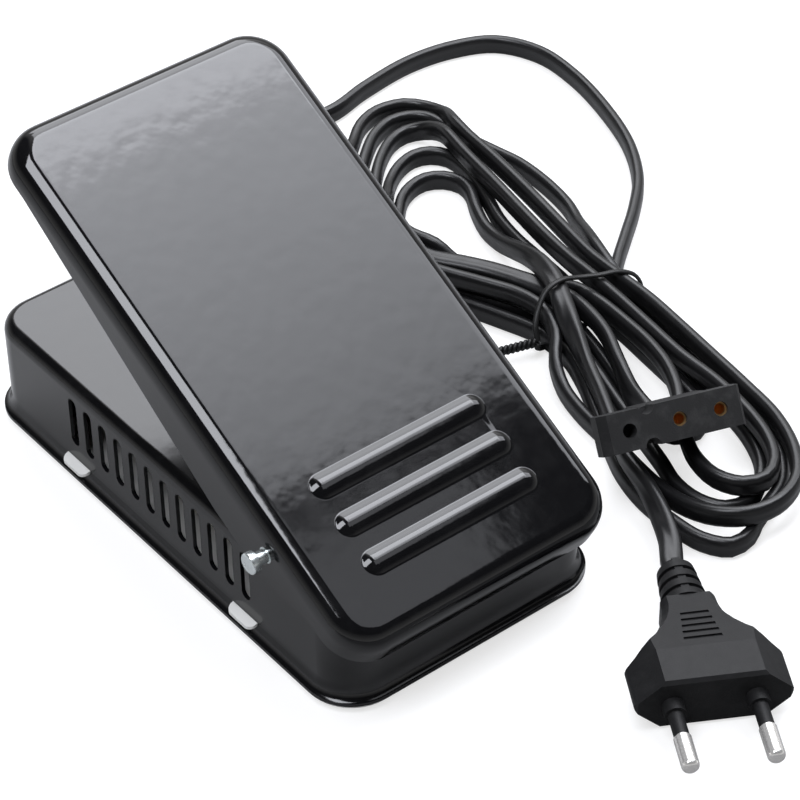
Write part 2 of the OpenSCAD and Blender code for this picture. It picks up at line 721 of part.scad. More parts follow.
// Half round bar with ball ends, for a raised rib of the tread
module rib_bar(r, l) {
    along_x(2*r, -l/2 + r, l/2 - r);
    for (x = [-1, 1]) translate([x*(l/2 - r), 0, 0]) sphere(r, $fn = small_fn);
}

// Pressed treadle: tray with skirts that drop to an ear round the pivot, and raised ribs
module treadle() color([0.03, 0.03, 0.035]) {
    middle = (tail - nose)/2;
    on_tread() difference() {
        union() {
            intersection() {
                difference() {
                    translate([0, middle, rise]) round_block(treadle_w, treadle_l, treadle_r,
                        tray_section(treadle_r, treadle_edge, skirt_ear + past));
                    translate([0, middle, under]) round_block(2*skirt_in, treadle_l - 2*treadle_t,
                        treadle_r - treadle_t, tray_section(treadle_r - treadle_t,
                        treadle_edge - treadle_t, skirt_ear + 3*past));
                }
                across_x(treadle_w + 2*past) polygon([[tail + past, rise + past],
                    [-nose - past, rise + past], [-nose - past, rise - skirt_front],
                    [skirt_front_l - nose, rise - skirt_front],
                    [-ear_ahead, rise - skirt_ear], [ear_behind, rise - skirt_ear],
                    [tail - skirt_back_l, rise - skirt_back], [tail + past, rise - skirt_back]]);
            }
            intersection() {
                for (k = [0:rib_count - 1]) translate([0, rib_first - k*rib_pitch, rise + rib_h - rib_r])
                    rib_bar(rib_r, rib_l);
                translate([-rib_l, -nose, under]) cube([2*rib_l, treadle_l, treadle_t + 2*rib_h]);
            }
        }
        for (k = [0:rib_count - 1]) translate([0, rib_first - k*rib_pitch, rise + rib_h - rib_r])
            rib_bar(rib_r - treadle_t, rib_l - 2*treadle_t);
        along_x(pin_d + 2*run_fit, -treadle_w, treadle_w);
    }
}

// Bent strip welded under the tread: flange, shelf over the spring, tongue through the casing's slot
module actuator_strip() color([0.62, 0.63, 0.65]) {
    reach = tail/2;
    shelf = shelf_z - pivot_z;
    riser = shelf_end - pivot_y - strip_t;
    flange_from = riser/cos(slope) + under*tan(slope);
    translate([0, pivot_y, pivot_z]) across_x(strip_w) intersection() {
        union() {
            translate([tongue_back, -tongue_drop]) square([strip_t, tongue_drop + shelf + strip_t]);
            translate([tongue_back, shelf]) square([shelf_end - tongue_y, strip_t]);
            translate([riser, shelf]) square([strip_t, reach]);
            rotate(slope) translate([flange_from, under - strip_t]) square([flange_l, strip_t]);
        }
        rotate(slope) translate([-reach, -reach]) square([2*reach, reach + under]);
    }
    translate([0, spring_y, shelf_z - boss_h])
        cylinder(d = spring_d - 2*spring_wire - 2*boss_gap, h = boss_h + strip_t/2, $fn = small_fn);
}

// Coil spring that lifts the treadle, between the casing's top and the shelf
module return_spring() color([0.6, 0.6, 0.62]) {
    steps = 12;
    r = (spring_d - spring_wire)/2;
    h = spring_l - spring_wire;
    coil = [for (i = [0:spring_turns*steps]) let (s = i/(spring_turns*steps))
        [r*cos(360*i/steps), r*sin(360*i/steps), spring_wire/2 + h*s]];
    translate([0, spring_y, top_z]) tube(coil, spring_wire, spring_wire, 8);
}

// Ceramic block with two bores for the carbon discs and a ledge at each side for the yoke
module ceramic_block() color([0.92, 0.9, 0.84]) {
    difference() {
        union() {
            translate([0, block_y + block_l/2, lip_z]) linear_extrude(block_h)
                round_rect(block_w, block_l, block_r);
            translate([0, block_y + block_l/2, lip_z]) linear_extrude(ledge_h)
                round_rect(block_w + 2*ledge_w, block_l, block_r);
        }
        for (x = [-bore_x, bore_x]) translate([x, 0, bar_z])
            along_y(bore_d, block_y - past, block_y + block_l + past);
        for (x = [-1, 1]) translate([x*ledge_screw_x, block_y + block_l/2, lip_z - past])
            cylinder(d = screw_d, h = screw_l + past, $fn = small_fn);
        translate([-block_w, block_y + block_l/4, lip_z + block_h - block_relief])
            cube([2*block_w, block_l/2, block_relief + past]);
    }
}

// Two stacks of carbon discs in the block's bores
module carbon_discs() color([0.12, 0.12, 0.13]) {
    pitch = disc_t + disc_gap;
    for (x = [-bore_x, bore_x], k = [0:disc_count - 1])
        translate([x, block_y + contact_in + k*pitch, bar_z]) along_y(disc_d, disc_gap, pitch);
}

// Brass contacts that close the front of the bores, each with a tab for its wire
module end_contacts() color([0.82, 0.66, 0.3]) {
    for (x = [-1, 1]) difference() {
        union() {
            translate([x*bore_x, 0, bar_z]) along_y(disc_d, block_y, block_y + contact_in);
            translate([x*bore_x, block_y - tab_t/2, bar_z + tab_up]) rotate([90, 0, 0])
                linear_extrude(tab_t, center = true)
                round_rect(disc_d + 2*tab_over, disc_d + 2*tab_up + 2*tab_over, block_r);
        }
        translate([x*bore_x, 0, bar_z]) along_y(screw_d, block_y - tab_t - past, block_y + contact_in/2);
    }
}

// Terminal screws in the end contacts
module terminal_screws() color([0.78, 0.79, 0.8]) {
    for (x = [-1, 1]) translate([x*bore_x, 0, bar_z]) {
        along_y(screw_head_d, block_y - tab_t - screw_head_h, block_y - tab_t);
        along_y(screw_d, block_y - tab_t - eps, block_y + contact_in/2);
    }
}

// Brass caps that press on the discs, standing out of the back of the block
module pressure_caps() color([0.82, 0.66, 0.3]) {
    for (x = [-1, 1]) translate([x*bore_x, 0, bar_z]) {
        along_y(disc_d, cap_y, block_y + block_l);
        along_y(cap_d, block_y + block_l - eps, cap_end);
    }
}

// Screws that hold the block on the bottom plate, from below
module block_screws() color([0.75, 0.76, 0.78]) {
    for (x = [-1, 1]) translate([x*ledge_screw_x, block_y + block_l/2, lip_z - plate_t]) rotate([180, 0, 0])
        pan_screw(plate_t + screw_l);
}

// Moulded yoke: the tongue pushes its front bar, and its rear crossbar carries the bridge
module contact_yoke() color([0.3, 0.14, 0.07]) {
    difference() {
        union() {
            translate([0, bar_y, bar_z]) along_x(bar_d, -rail_x - rail_w, rail_x + rail_w);
            for (x = [-1, 1]) translate([x*(rail_x + rail_w/2) - rail_w/2, bar_y, bar_z - bar_d/2])
                cube([rail_w, cross_y + cross_t - bar_y, bar_d]);
            translate([0, cross_y + cross_t/2, bar_z - bar_d/2]) linear_extrude(cross_h)
                round_rect(2*rail_x + 2*rail_w, cross_t, cross_t/4);
        }
        translate([0, 0, bar_z]) along_y(screw_d, cross_y - past, cross_y + cross_t + past);
    }
}

// Brass bridge with two contact buttons, on the yoke's crossbar
module contact_bridge() color([0.82, 0.66, 0.3]) {
    difference() {
        translate([0, cross_y - bridge_t/2, bar_z]) rotate([90, 0, 0])
            linear_extrude(bridge_t, center = true) round_rect(bore_pitch + disc_d, cap_d, block_r);
        translate([0, 0, bar_z]) along_y(screw_d, bridge_y - past, cross_y + past);
    }
    for (x = [-bore_x, bore_x]) translate([x, 0, bar_z]) along_y(button_d, button_y, bridge_y + eps);
}

// Rivet that holds the bridge on the yoke
module bridge_rivet() color([0.7, 0.55, 0.25]) {
    translate([0, 0, bar_z]) {
        along_y(screw_d, bridge_y - eps, cross_y + cross_t + eps);
        along_y(screw_head_d, bridge_y - screw_head_h, bridge_y);
        along_y(screw_head_d, cross_y + cross_t, cross_y + cross_t + screw_head_h);
    }
}

// Moulded base of the lead clamp, with a groove for each lead
module clamp_base() color([0.15, 0.15, 0.16]) {
    difference() {
        translate([lead_mid, clamp_y - clamp_d/2, lip_z]) linear_extrude(lead_z)
            round_rect(clamp_w, clamp_d, clamp_t);
        for (x = [mains_x, motor_x]) translate([x, 0, lead_axis_z])
            along_y(lead_w + 2*lead_fit, clamp_y - clamp_d - past, clamp_y + past);
        translate([lead_mid, clamp_y - clamp_d/2, lip_z - past])
            cylinder(d = screw_d, h = lead_z + 2*past, $fn = small_fn);
    }
}

// Steel strap over the leads
module clamp_strap() color([0.75, 0.76, 0.78]) {
    hump = lead_w + 2*lead_fit + 2*clamp_t;
    difference() {
        union() {
            translate([lead_mid, clamp_y - clamp_d/2, lead_axis_z]) linear_extrude(clamp_t)
                round_rect(clamp_w, clamp_d, clamp_t);
            for (x = [mains_x, motor_x]) translate([x, 0, lead_axis_z])
                along_y(hump, clamp_y - clamp_d, clamp_y);
        }
        translate([lead_mid - clamp_w, clamp_y - 2*clamp_d, lead_axis_z - hump])
            cube([2*clamp_w, 3*clamp_d, hump]);
        for (x = [mains_x, motor_x]) translate([x, 0, lead_axis_z])
            along_y(lead_w + 2*lead_fit, clamp_y - clamp_d - past, clamp_y + past);
        translate([lead_mid, clamp_y - clamp_d/2, lead_axis_z - past])
            cylinder(d = screw_d, h = clamp_t + 2*past, $fn = small_fn);
    }
}

// Screw through the clamp, from below the plate to the strap's top
module clamp_screw() color([0.75, 0.76, 0.78]) {
    translate([lead_mid, clamp_y - clamp_d/2, lip_z - plate_t]) rotate([180, 0, 0])
        pan_screw(plate_t + lead_z + clamp_t);
}

// Tapered rubber sleeve that holds a lead in the back wall
module lead_sleeve(x) {
    wall_in = back_wall - casing_t;
    bore = lead_w/2 + lead_fit;
    translate([x, 0, lead_axis_z]) rotate([-90, 0, 0])
        rotate_extrude($fn = small_fn) polygon([[bore, wall_in - flange_t],
            [flange_d/2, wall_in - flange_t], [flange_d/2, wall_in], [sleeve_d/2, wall_in],
            [sleeve_d/2, back_wall], [flange_d/2, back_wall],
            [flange_d/2, back_wall + flange_t], [sleeve_d/2, back_wall + flange_t],
            [sleeve_tip/2, back_wall + sleeve_l], [bore, back_wall + sleeve_l]]);
}
module mains_sleeve() color([0.05, 0.05, 0.05]) lead_sleeve(mains_x);
module motor_sleeve() color([0.05, 0.05, 0.05]) lead_sleeve(motor_x);

// Inner wires: one to each terminal over the block, and one that joins the two leads
module inner_wires() color([0.45, 0.1, 0.08]) {
    over_z = lip_z + block_h + wire_r + wire_fit;
    link_z = lead_axis_z - 3*wire_r;
    core = lead_w/4;
    first = lead_start - 2*wire_r;
    solder_y = block_y - tab_t - wire_r - wire_fit;
    solder_z = bar_z + screw_head_d/2 + wire_r;
    for (w = [[mains_x - core, -bore_x], [motor_x - core, bore_x]]) {
        route = [[w[0], lead_start, lead_axis_z], [w[0], first, lead_axis_z],
            [w[0], first - 4*wire_r, over_z], [(w[0] + 2*w[1])/3, block_y + block_l/2, over_z],
            [w[1], block_y + 3*wire_r, over_z], [w[1], solder_y - wire_r, over_z - wire_r],
            [w[1], solder_y, solder_z]];
        tube(smooth(route, 3), 2*wire_r, 2*wire_r, 8);
    }
    link = [[mains_x + core, lead_start, lead_axis_z], [mains_x + core, first, lead_axis_z],
        [lead_mid, first - 2*wire_r, link_z], [motor_x + core, first, lead_axis_z],
        [motor_x + core, lead_start, lead_axis_z]];
    tube(smooth(link, 3), 2*wire_r, 2*wire_r, 8);
}

// Flat leads from the clamp to the hank
module mains_lead() color([0.06, 0.06, 0.065]) tube(smooth(mains_route, 2), lead_w, lead_t, 8);
module motor_lead() color([0.06, 0.06, 0.065]) tube(smooth(motor_route, 2), lead_w, lead_t, 8);

// Outline of the hank, in its own frame
module hank_outline() {
    for (y = [-1, 1]) translate([0, y*hank_l/2]) circle(hank_w/2, $fn = round_fn);
    square([hank_w, hank_l], center = true);
}

// Both leads folded into one hank, lying on the tie
module lead_hank() color([0.06, 0.06, 0.065]) {
    translate([hank_at[0], hank_at[1], tie_t]) rotate(hank_turn) linear_extrude(hank_h) hank_outline();
}

// Wire tie round the hank, with its twisted tail
module hank_tie() color([0.04, 0.04, 0.04]) {
    translate([hank_at[0], hank_at[1], 0]) rotate(hank_turn) translate([0, tie_y, hank_h/2 + tie_t]) {
        rotate([90, 0, 0]) linear_extrude(tie_w, center = true) difference() {
            square([hank_w + 2*tie_t, hank_h + 2*tie_t], center = true);
            square([hank_w, hank_h], center = true);
        }
        translate([-hank_w/2 - tie_t, 0, 0]) along_x(2*tie_t, -tie_tail, 0);
    }
}

// Stretch of the mains lead from the hank to the plug
module plug_tail() color([0.06, 0.06, 0.065]) tube(smooth(plug_route, 2), lead_w, lead_t, 8);

// Places its children at the plug, with the face at Y = 0 and the prongs along -Y
module at_plug() { translate(plug_at) rotate(plug_turn) children(); }

// Half outline of the plug in plan: straight sides, then shoulders that sweep in to the neck
function plug_side(w, n) = let (last = acos(1 - (w - n)/plug_sweep))
    concat([[w - plug_bevel, 0], [w, plug_bevel]], [for (i = [0:8]) let (t = last*(1 - i/8))
        [n + plug_sweep*(1 - cos(t)), plug_body_l - plug_sweep*sin(t)]]);

// Half thickness of the plug at a distance from its face
function plug_half(y) = let (part = max(0, y - plug_face_l)/(plug_body_l - plug_face_l))
    (plug_t - (plug_t - plug_neck_t)*part)/2;

// One half of the plug's six sided section: flat top and bottom, sides that meet in a round point
function plug_point() = let (c = plug_w/2 - plug_tip_r, corner = [plug_flat/2, plug_t/2],
    turn = atan2(corner[1], corner[0] - c) - acos(plug_tip_r/norm(corner - [c, 0])))
    concat([[corner[0], -corner[1]]], arc(c, 0, plug_tip_r, -turn, turn, 5), [corner]);

// Radius of the ribbed sleeve, from 0 at the neck to 1 at its end
function sleeve_r(s) = (plug_sleeve_d + (plug_sleeve_end - plug_sleeve_d)*s)/2;

// Wide part of the plug: where its section, its plan and its side view meet, with a rounded neck
module plug_shell() {
    side = plug_side(plug_w/2, plug_neck/2);
    neck = plug_side(plug_w/2 + plug_corner, plug_neck/2 + plug_corner);
    half = plug_t/2;
    intersection() {
        rotate([-90, 0, 0]) linear_extrude(plug_body_l) polygon(both_sides(0, plug_point()));
        linear_extrude(2*plug_t, center = true) polygon(both_sides(0, side));
        across_x(2*plug_w) polygon([[0, plug_bevel - half], [plug_bevel, -half], [plug_face_l, -half],
            [plug_body_l, -plug_neck_t/2], [plug_body_l, plug_neck_t/2], [plug_face_l, half],
            [plug_bevel, half], [0, half - plug_bevel]]);
        rotate([-90, 0, 0]) rotate_extrude($fn = round_fn)
            polygon(concat([[0, 0]], neck, [[0, plug_body_l]]));
    }
}

// Ribbed sleeve behind the plug's neck: rings with grooves between them, and a spine across the grooves
module plug_sleeve() {
    step = plug_sleeve_l/ring_count;
    low = ring_depth/2;
    rings = [for (k = [0:ring_count - 1]) each [[sleeve_r(k/ring_count), k*step],
        [sleeve_r((k + 1)/ring_count), (k + 1)*step - ring_gap],
        [sleeve_r((k + 1)/ring_count) - ring_depth, (k + 1)*step - ring_gap],
        [sleeve_r((k + 1)/ring_count) - ring_depth, (k + 1)*step]]];
    translate([0, plug_body_l - eps, 0]) {
        rotate([-90, 0, 0]) rotate_extrude($fn = small_fn)
            polygon(concat([[0, 0]], rings, [[0, plug_sleeve_l]]));
        across_x(spine_w) polygon([[0, low - sleeve_r(0)], [plug_sleeve_l, low - sleeve_r(1)],
            [plug_sleeve_l, sleeve_r(1) - low], [0, sleeve_r(0) - low]]);
    }
}

// Moulded plug with grip lines, collars round its prongs and a bore for the lead
module plug_body() color([0.06, 0.06, 0.065]) {
    bore_from = plug_body_l + plug_sleeve_l/3;
    at_plug() difference() {
        union() {
            plug_shell();
            plug_sleeve();
            for (x = [-1, 1]) translate([x*prong_pitch/2, 0, 0]) along_y(collar_d, -collar_l, past);
        }
        for (x = [-1, 1]) translate([x*prong_pitch/2, 0, 0])
            along_y(prong_skin_d, -collar_l - past, prong_in);
        along_y(lead_w + 2*lead_fit, bore_from, plug_body_l + plug_sleeve_l + past);
        for (k = [0:grip_count - 1], z = [-1, 1]) {
            y = grip_from + k*grip_pitch;
            translate([0, y, z*plug_half(y)]) cube([grip_l - k*grip_less, grip_w, 2*grip_d], center = true);
        }
    }
}

// Two round prongs: bare tips on insulated roots
module plug_prongs() color([0.8, 0.8, 0.78]) {
    r = prong_d/2;
    e = prong_round;
    at_plug() for (x = [-1, 1]) translate([x*prong_pitch/2, 0, 0]) rotate([90, 0, 0])
        rotate_extrude($fn = small_fn) polygon(concat([[0, prong_skin_l], [r, prong_skin_l],
            [r, prong_l - e]], arc(r - e, prong_l - e, e, 0, 90, 5), [[0, prong_l]]));
}

// Insulating skins on the prongs' roots
module prong_skins() color([0.05, 0.05, 0.05]) {
    at_plug() for (x = [-1, 1]) translate([x*prong_pitch/2, 0, 0])
        along_y(prong_skin_d, -prong_skin_l, prong_in);
}

// Places its children at the connector: its face at Z = 0 looks up to the front, its back along -Z
module at_conn() { translate(conn_at) rotate([0, 0, conn_turn]) rotate([90 - conn_up, 0, 0]) children(); }

// Front part of the connector: bevelled ends and a notch in each long edge
module conn_plate() {
    left = -conn_w/2 - conn_bevel;
    right = conn_w/2 + conn_bevel_right;
    difference() {
        rotate([90, 0, 0]) linear_extrude(conn_t, center = true) polygon([[left, -conn_front],
            [right, -conn_front], [right, -conn_bevel_right], [conn_w/2, 0], [-conn_w/2, 0],
            [left, -conn_bevel]]);
        for (y = [-1, 1]) translate([conn_notch_x, y*conn_t/2, -conn_front - past])
            cylinder(r = conn_notch, h = conn_front + 2*past, $fn = small_fn);
    }
}

// Moulded three hole connector: front part, narrower housing and a tapered neck for the lead
module connector_body() color([0.07, 0.07, 0.075]) {
    at_conn() difference() {
        union() {
            conn_plate();
            translate([conn_house_x, 0, -conn_l]) linear_extrude(conn_l - conn_front + eps)
                round_rect(conn_house_w, conn_t - conn_step, conn_house_r);
            translate([conn_house_x, 0, -conn_l - conn_neck_l])
                cylinder(d1 = conn_neck_d, d2 = conn_t - conn_step, h = conn_neck_l + eps, $fn = small_fn);
        }
        translate([conn_shift - conn_pitch_a, 0, -conn_blank])
            cylinder(d = conn_hole, h = conn_blank + past, $fn = small_fn);
        for (x = [0, conn_pitch_b]) translate([conn_shift + x, 0, -socket_l - socket_sink])
            cylinder(d = conn_hole, h = socket_l + socket_sink + past, $fn = small_fn);
    }
}

// Brass sockets in two of the three holes, sunk a little below the face
module connector_sockets() color([0.8, 0.55, 0.25]) {
    at_conn() for (x = [0, conn_pitch_b]) translate([conn_shift + x, 0, -socket_l - socket_sink])
        difference() {
            cylinder(d = conn_hole, h = socket_l, $fn = small_fn);
            translate([0, 0, socket_end]) cylinder(d = socket_bore, h = socket_l, $fn = small_fn);
        }
}

translate([middle_x, 0, 0]) base_casing();
translate([middle_x, 0, 0]) bottom_plate();
translate([middle_x, 0, 0]) rubber_feet();
translate([middle_x, 0, 0]) hinge_bracket();
translate([middle_x, 0, 0]) pivot_pin();
translate([middle_x, 0, 0]) pivot_spacers();
translate([middle_x, 0, 0]) pin_cap();
translate([middle_x, 0, 0]) treadle();
translate([middle_x, 0, 0]) actuator_strip();
translate([middle_x, 0, 0]) return_spring();
translate([middle_x, 0, 0]) ceramic_block();
translate([middle_x, 0, 0]) carbon_discs();
translate([middle_x, 0, 0]) end_contacts();
translate([middle_x, 0, 0]) terminal_screws();
translate([middle_x, 0, 0]) pressure_caps();
translate([middle_x, 0, 0]) block_screws();
translate([middle_x, 0, 0]) contact_yoke();
translate([middle_x, 0, 0]) contact_bridge();
translate([middle_x, 0, 0]) bridge_rivet();
translate([middle_x, 0, 0]) clamp_base();
translate([middle_x, 0, 0]) clamp_strap();
translate([middle_x, 0, 0]) clamp_screw();
translate([middle_x, 0, 0]) mains_sleeve();
translate([middle_x, 0, 0]) motor_sleeve();
translate([middle_x, 0, 0]) inner_wires();
translate([middle_x, 0, 0]) mains_lead();
translate([middle_x, 0, 0]) motor_lead();
translate([middle_x, 0, 0]) lead_hank();
translate([middle_x, 0, 0]) hank_tie();
translate([middle_x, 0, 0]) plug_tail();
translate([middle_x, 0, 0]) plug_body();
translate([middle_x, 0, 0]) plug_prongs();
translate([middle_x, 0, 0]) prong_skins();
translate([middle_x, 0, 0]) connector_body();
translate([middle_x, 0, 0]) connector_sockets();
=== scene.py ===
# %% [markdown]
# # A foot pedal for a sewing machine
# The pedal is a black enamelled treadle on a low steel casing, with two flat leads tied in one hank.
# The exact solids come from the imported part. This lesson adds what they lack: leads that lie in loops,
# a wire tie, the looks of enamel, zinc, vinyl and brass, a floor, light and a camera.

# %% Load the part
import bmesh
import bpy
import json
from math import cos, pi, radians, sin
from mathutils import Matrix, Vector


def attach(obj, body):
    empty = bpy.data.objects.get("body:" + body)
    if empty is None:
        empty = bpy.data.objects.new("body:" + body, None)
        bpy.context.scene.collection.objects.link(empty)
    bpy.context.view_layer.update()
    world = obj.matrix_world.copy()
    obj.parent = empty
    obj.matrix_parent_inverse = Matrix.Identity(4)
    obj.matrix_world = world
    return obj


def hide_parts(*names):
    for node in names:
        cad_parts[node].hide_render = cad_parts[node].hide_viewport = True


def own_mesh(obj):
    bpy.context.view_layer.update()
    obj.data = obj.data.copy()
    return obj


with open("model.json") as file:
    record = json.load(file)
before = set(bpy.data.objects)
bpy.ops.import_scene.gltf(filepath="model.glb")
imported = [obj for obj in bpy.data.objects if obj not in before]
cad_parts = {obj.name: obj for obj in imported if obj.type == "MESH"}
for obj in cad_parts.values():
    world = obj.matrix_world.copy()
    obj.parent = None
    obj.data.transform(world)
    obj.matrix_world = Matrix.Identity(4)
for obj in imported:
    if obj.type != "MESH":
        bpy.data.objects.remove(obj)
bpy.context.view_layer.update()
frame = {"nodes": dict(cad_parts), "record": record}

MM = 0.001
scene = bpy.context.scene

# %% [markdown]
# ## Camera
# A camera could be aimed by eye, but here its place was measured: the casing's straight edges and the
# row of slots give its directions, and the plug's prongs, whose spacing is standard, give the scale.
# It looks down at 40 degrees from the front left, through a long lens, so that the edges stay nearly
# parallel. A roll of one degree makes the uprights lean as they do in the picture.

# %% Camera
AZIMUTH, ELEVATION, ROLL = radians(-37.72), radians(40.23), radians(-1.08)
CAMERA_AT = Vector((-322.14, -461.29, 504.02))*MM
LENS, SENSOR = 144.5, 36


def camera_axes(azimuth, elevation, roll):
    right = Vector((cos(azimuth), sin(azimuth), 0))
    back = Vector((sin(azimuth)*cos(elevation), -cos(azimuth)*cos(elevation), sin(elevation)))
    up = back.cross(right)
    return cos(roll)*right + sin(roll)*up, cos(roll)*up - sin(roll)*right, back


camera = bpy.data.objects.new("camera", bpy.data.cameras.new("camera"))
axes = camera_axes(AZIMUTH, ELEVATION, ROLL)
camera.matrix_world = Matrix.Translation(CAMERA_AT) @ Matrix(axes).transposed().to_4x4()
camera.data.lens = LENS
camera.data.sensor_width = SENSOR
scene.collection.objects.link(camera)
scene.camera = camera
print("camera at", [round(c, 3) for c in CAMERA_AT])

# %% [markdown]
# ## Node helpers
# Geometry trees and materials are both graphs of nodes. They could be wired by hand in the editor, but
# code keeps them together with the lesson. It needs a few small helpers: one adds a node and sets its
# sockets, three are short for arithmetic, a product and a ramp, one splits a vector, and one starts a
# group.


# %% Helpers that add nodes
def add_node(tree, kind, inputs=(), **settings):
    node = tree.nodes.new(kind)
    for name, value in settings.items():
        setattr(node, name, value)
    for key, value in dict(inputs).items():
        if isinstance(value, bpy.types.NodeSocket):
            tree.links.new(value, node.inputs[key])
        else:
            node.inputs[key].default_value = value
    return node


def math_node(tree, operation, a, b=0.0, c=0.0):
    return add_node(tree, "ShaderNodeMath", {0: a, 1: b, 2: c}, operation=operation).outputs[0]


def times(tree, a, b):
    return math_node(tree, "MULTIPLY", a, b)


def ramp(tree, value, start, end, at_start=0.0, at_end=1.0):
    return add_node(tree, "ShaderNodeMapRange", {"Value": value, "From Min": start, "From Max": end,
                                                 "To Min": at_start, "To Max": at_end}).outputs[0]


def split(tree, vector):
    return add_node(tree, "ShaderNodeSeparateXYZ", {0: vector}).outputs


print("helpers for nodes:", add_node.__name__, math_node.__name__, times.__name__, ramp.__name__,
      split.__name__)


# %% Helper that starts a group
def new_group(name, kind, inputs, outputs):
    tree = bpy.data.node_groups.new(name, kind)
    for direction, sockets in (("INPUT", inputs), ("OUTPUT", outputs)):
        for socket_name, socket_kind, value in sockets:
            socket = tree.interface.new_socket(socket_name, in_out=direction, socket_type=socket_kind)
            if value is not None:
                socket.default_value = value
    given = tree.nodes.new("NodeGroupInput").outputs
    result = tree.nodes.new("NodeGroupOutput").inputs
    return tree, given, result


GEOMETRY, MATERIAL = "NodeSocketGeometry", "NodeSocketMaterial"
FLOAT, INTEGER = "NodeSocketFloat", "NodeSocketInt"
print("helper for groups:", new_group.__name__)

# %% [markdown]
# ## Effects that several finishes share
# Paint, vinyl and zinc all have a surface that isn't quite flat, and all collect a little dust and wear.
# Each of these could be drawn again in every material. A shader group is better: it is built once, and
# every material gives it its own scale and strength.


# %% Shared effect: uneven surface
def uneven_group():
    inputs = [("Fine", FLOAT, 600.0), ("Coarse", FLOAT, 160.0), ("Fine Share", FLOAT, 0.5),
              ("Detail", FLOAT, 1.0)]
    outputs = [("Height", FLOAT, None), ("Mottle", FLOAT, None)]
    tree, given, result = new_group("uneven_surface", "ShaderNodeTree", inputs, outputs)
    place = add_node(tree, "ShaderNodeTexCoord").outputs["Object"]
    fine, coarse = [add_node(tree, "ShaderNodeTexNoise", {"Vector": place, "Scale": given[scale],
                                                          "Detail": given["Detail"]}).outputs["Fac"]
                    for scale in ("Fine", "Coarse")]
    coarse_share = math_node(tree, "SUBTRACT", 1.0, given["Fine Share"])
    height = math_node(tree, "MULTIPLY_ADD", fine, given["Fine Share"], times(tree, coarse, coarse_share))
    tree.links.new(height, result["Height"])
    tree.links.new(coarse, result["Mottle"])
    return tree


UNEVEN = uneven_group()
print("group:", UNEVEN.name)


# %% Shared effect: dust and scuffs
def scuff_group():
    inputs = [("Scale", FLOAT, 90.0), ("Amount", FLOAT, 0.1)]
    outputs = [("Mask", FLOAT, None)]
    tree, given, result = new_group("dust_and_scuffs", "ShaderNodeTree", inputs, outputs)
    place = add_node(tree, "ShaderNodeTexCoord").outputs["Object"]
    cloud = add_node(tree, "ShaderNodeTexNoise", {"Vector": place, "Scale": given["Scale"],
                                                  "Detail": 5.0, "Roughness": 0.7})
    patches = ramp(tree, cloud.outputs["Fac"], start=0.5, end=0.8)
    tree.links.new(times(tree, patches, given["Amount"]), result["Mask"])
    return tree


SCUFFS = scuff_group()
print("group:", SCUFFS.name)

# %% [markdown]
# ## One builder for all finishes
# Each finish is one Principled shader, and its plain numbers sit on the shader itself. What changes over
# the surface comes from the groups: the colour and roughness of dust, a mottled gloss, and small bumps.
# Bumps could be real geometry, but they are far smaller than a face, so a Bump node is enough.


# %% Finish builder
DUST_ROUGHENS = 0.5


def finish(name, color, roughness, metallic=0.0, dust=(0.2, 0.2, 0.2), dust_amount=0.1, dust_scale=90.0,
           rough_spread=0.1, fine=600.0, coarse=160.0, fine_share=0.5, detail=1.0, bump=0.1, depth=0.2,
           **sockets):
    material = bpy.data.materials.new(name)
    material.use_nodes = True
    tree = material.node_tree
    shader = tree.nodes["Principled BSDF"]
    uneven = add_node(tree, "ShaderNodeGroup", node_tree=UNEVEN)
    scuffs = add_node(tree, "ShaderNodeGroup", node_tree=SCUFFS)
    bumps = {"Fine": fine, "Coarse": coarse, "Fine Share": fine_share, "Detail": detail}
    patches = {"Scale": dust_scale, "Amount": dust_amount}
    for node, values in ((uneven, bumps), (scuffs, patches)):
        for key, value in values.items():
            node.inputs[key].default_value = value
    mask = scuffs.outputs["Mask"]
    tint = add_node(tree, "ShaderNodeMix", {"Factor": mask}, data_type="RGBA")
    tint.inputs["A"].default_value = (*color, 1)
    tint.inputs["B"].default_value = (*dust, 1)
    smoothest = roughness - rough_spread/2
    rough = math_node(tree, "MULTIPLY_ADD", uneven.outputs["Mottle"], rough_spread, smoothest)
    rough = math_node(tree, "ADD", rough, times(tree, mask, DUST_ROUGHENS))
    height = add_node(tree, "ShaderNodeBump", {"Strength": bump, "Distance": depth*MM,
                                               "Height": uneven.outputs["Height"]})
    shader.inputs["Metallic"].default_value = metallic
    for key, value in sockets.items():
        shader.inputs[key.replace("_", " ")].default_value = value
    tree.links.new(tint.outputs["Result"], shader.inputs["Base Color"])
    tree.links.new(rough, shader.inputs["Roughness"])
    tree.links.new(height.outputs["Normal"], shader.inputs["Normal"])
    return material


print("finish builder:", finish.__name__)

# %% [markdown]
# ## Enamel
# The casing and the treadle are pressed steel with black stove enamel. It is nearly a mirror, with the
# faint waves of a thick coat, called orange peel. It could be a black base under a clear coat, but one
# dark layer of low roughness looks much the same and is simpler. The casing is a little duller.

# %% Enamel
ENAMEL_BLACK = (0.0035, 0.0035, 0.004)
ORANGE_PEEL = {"fine": 700, "coarse": 280, "fine_share": 0.2, "detail": 0.0, "bump": 0.075, "depth": 0.25}
enamel = finish("black_enamel", ENAMEL_BLACK, roughness=0.07, dust_amount=0.02, rough_spread=0.03,
                **ORANGE_PEEL)
casing_enamel = finish("casing_enamel", ENAMEL_BLACK, roughness=0.14, dust_amount=0.03, rough_spread=0.05,
                       **ORANGE_PEEL)
print("enamel:", enamel.name, casing_enamel.name)

# %% [markdown]
# ## Metals
# The bottom plate and its tabs are dull zinc, the pin is brighter zinc, the spring is bare steel, the
# prongs are nickel plated, and the sockets are brass gone brown in spots. Dull zinc could be a rough full
# metal, but that goes dark where there is little to mirror, so here it is only slightly metallic. The
# others are mostly or wholly metallic.

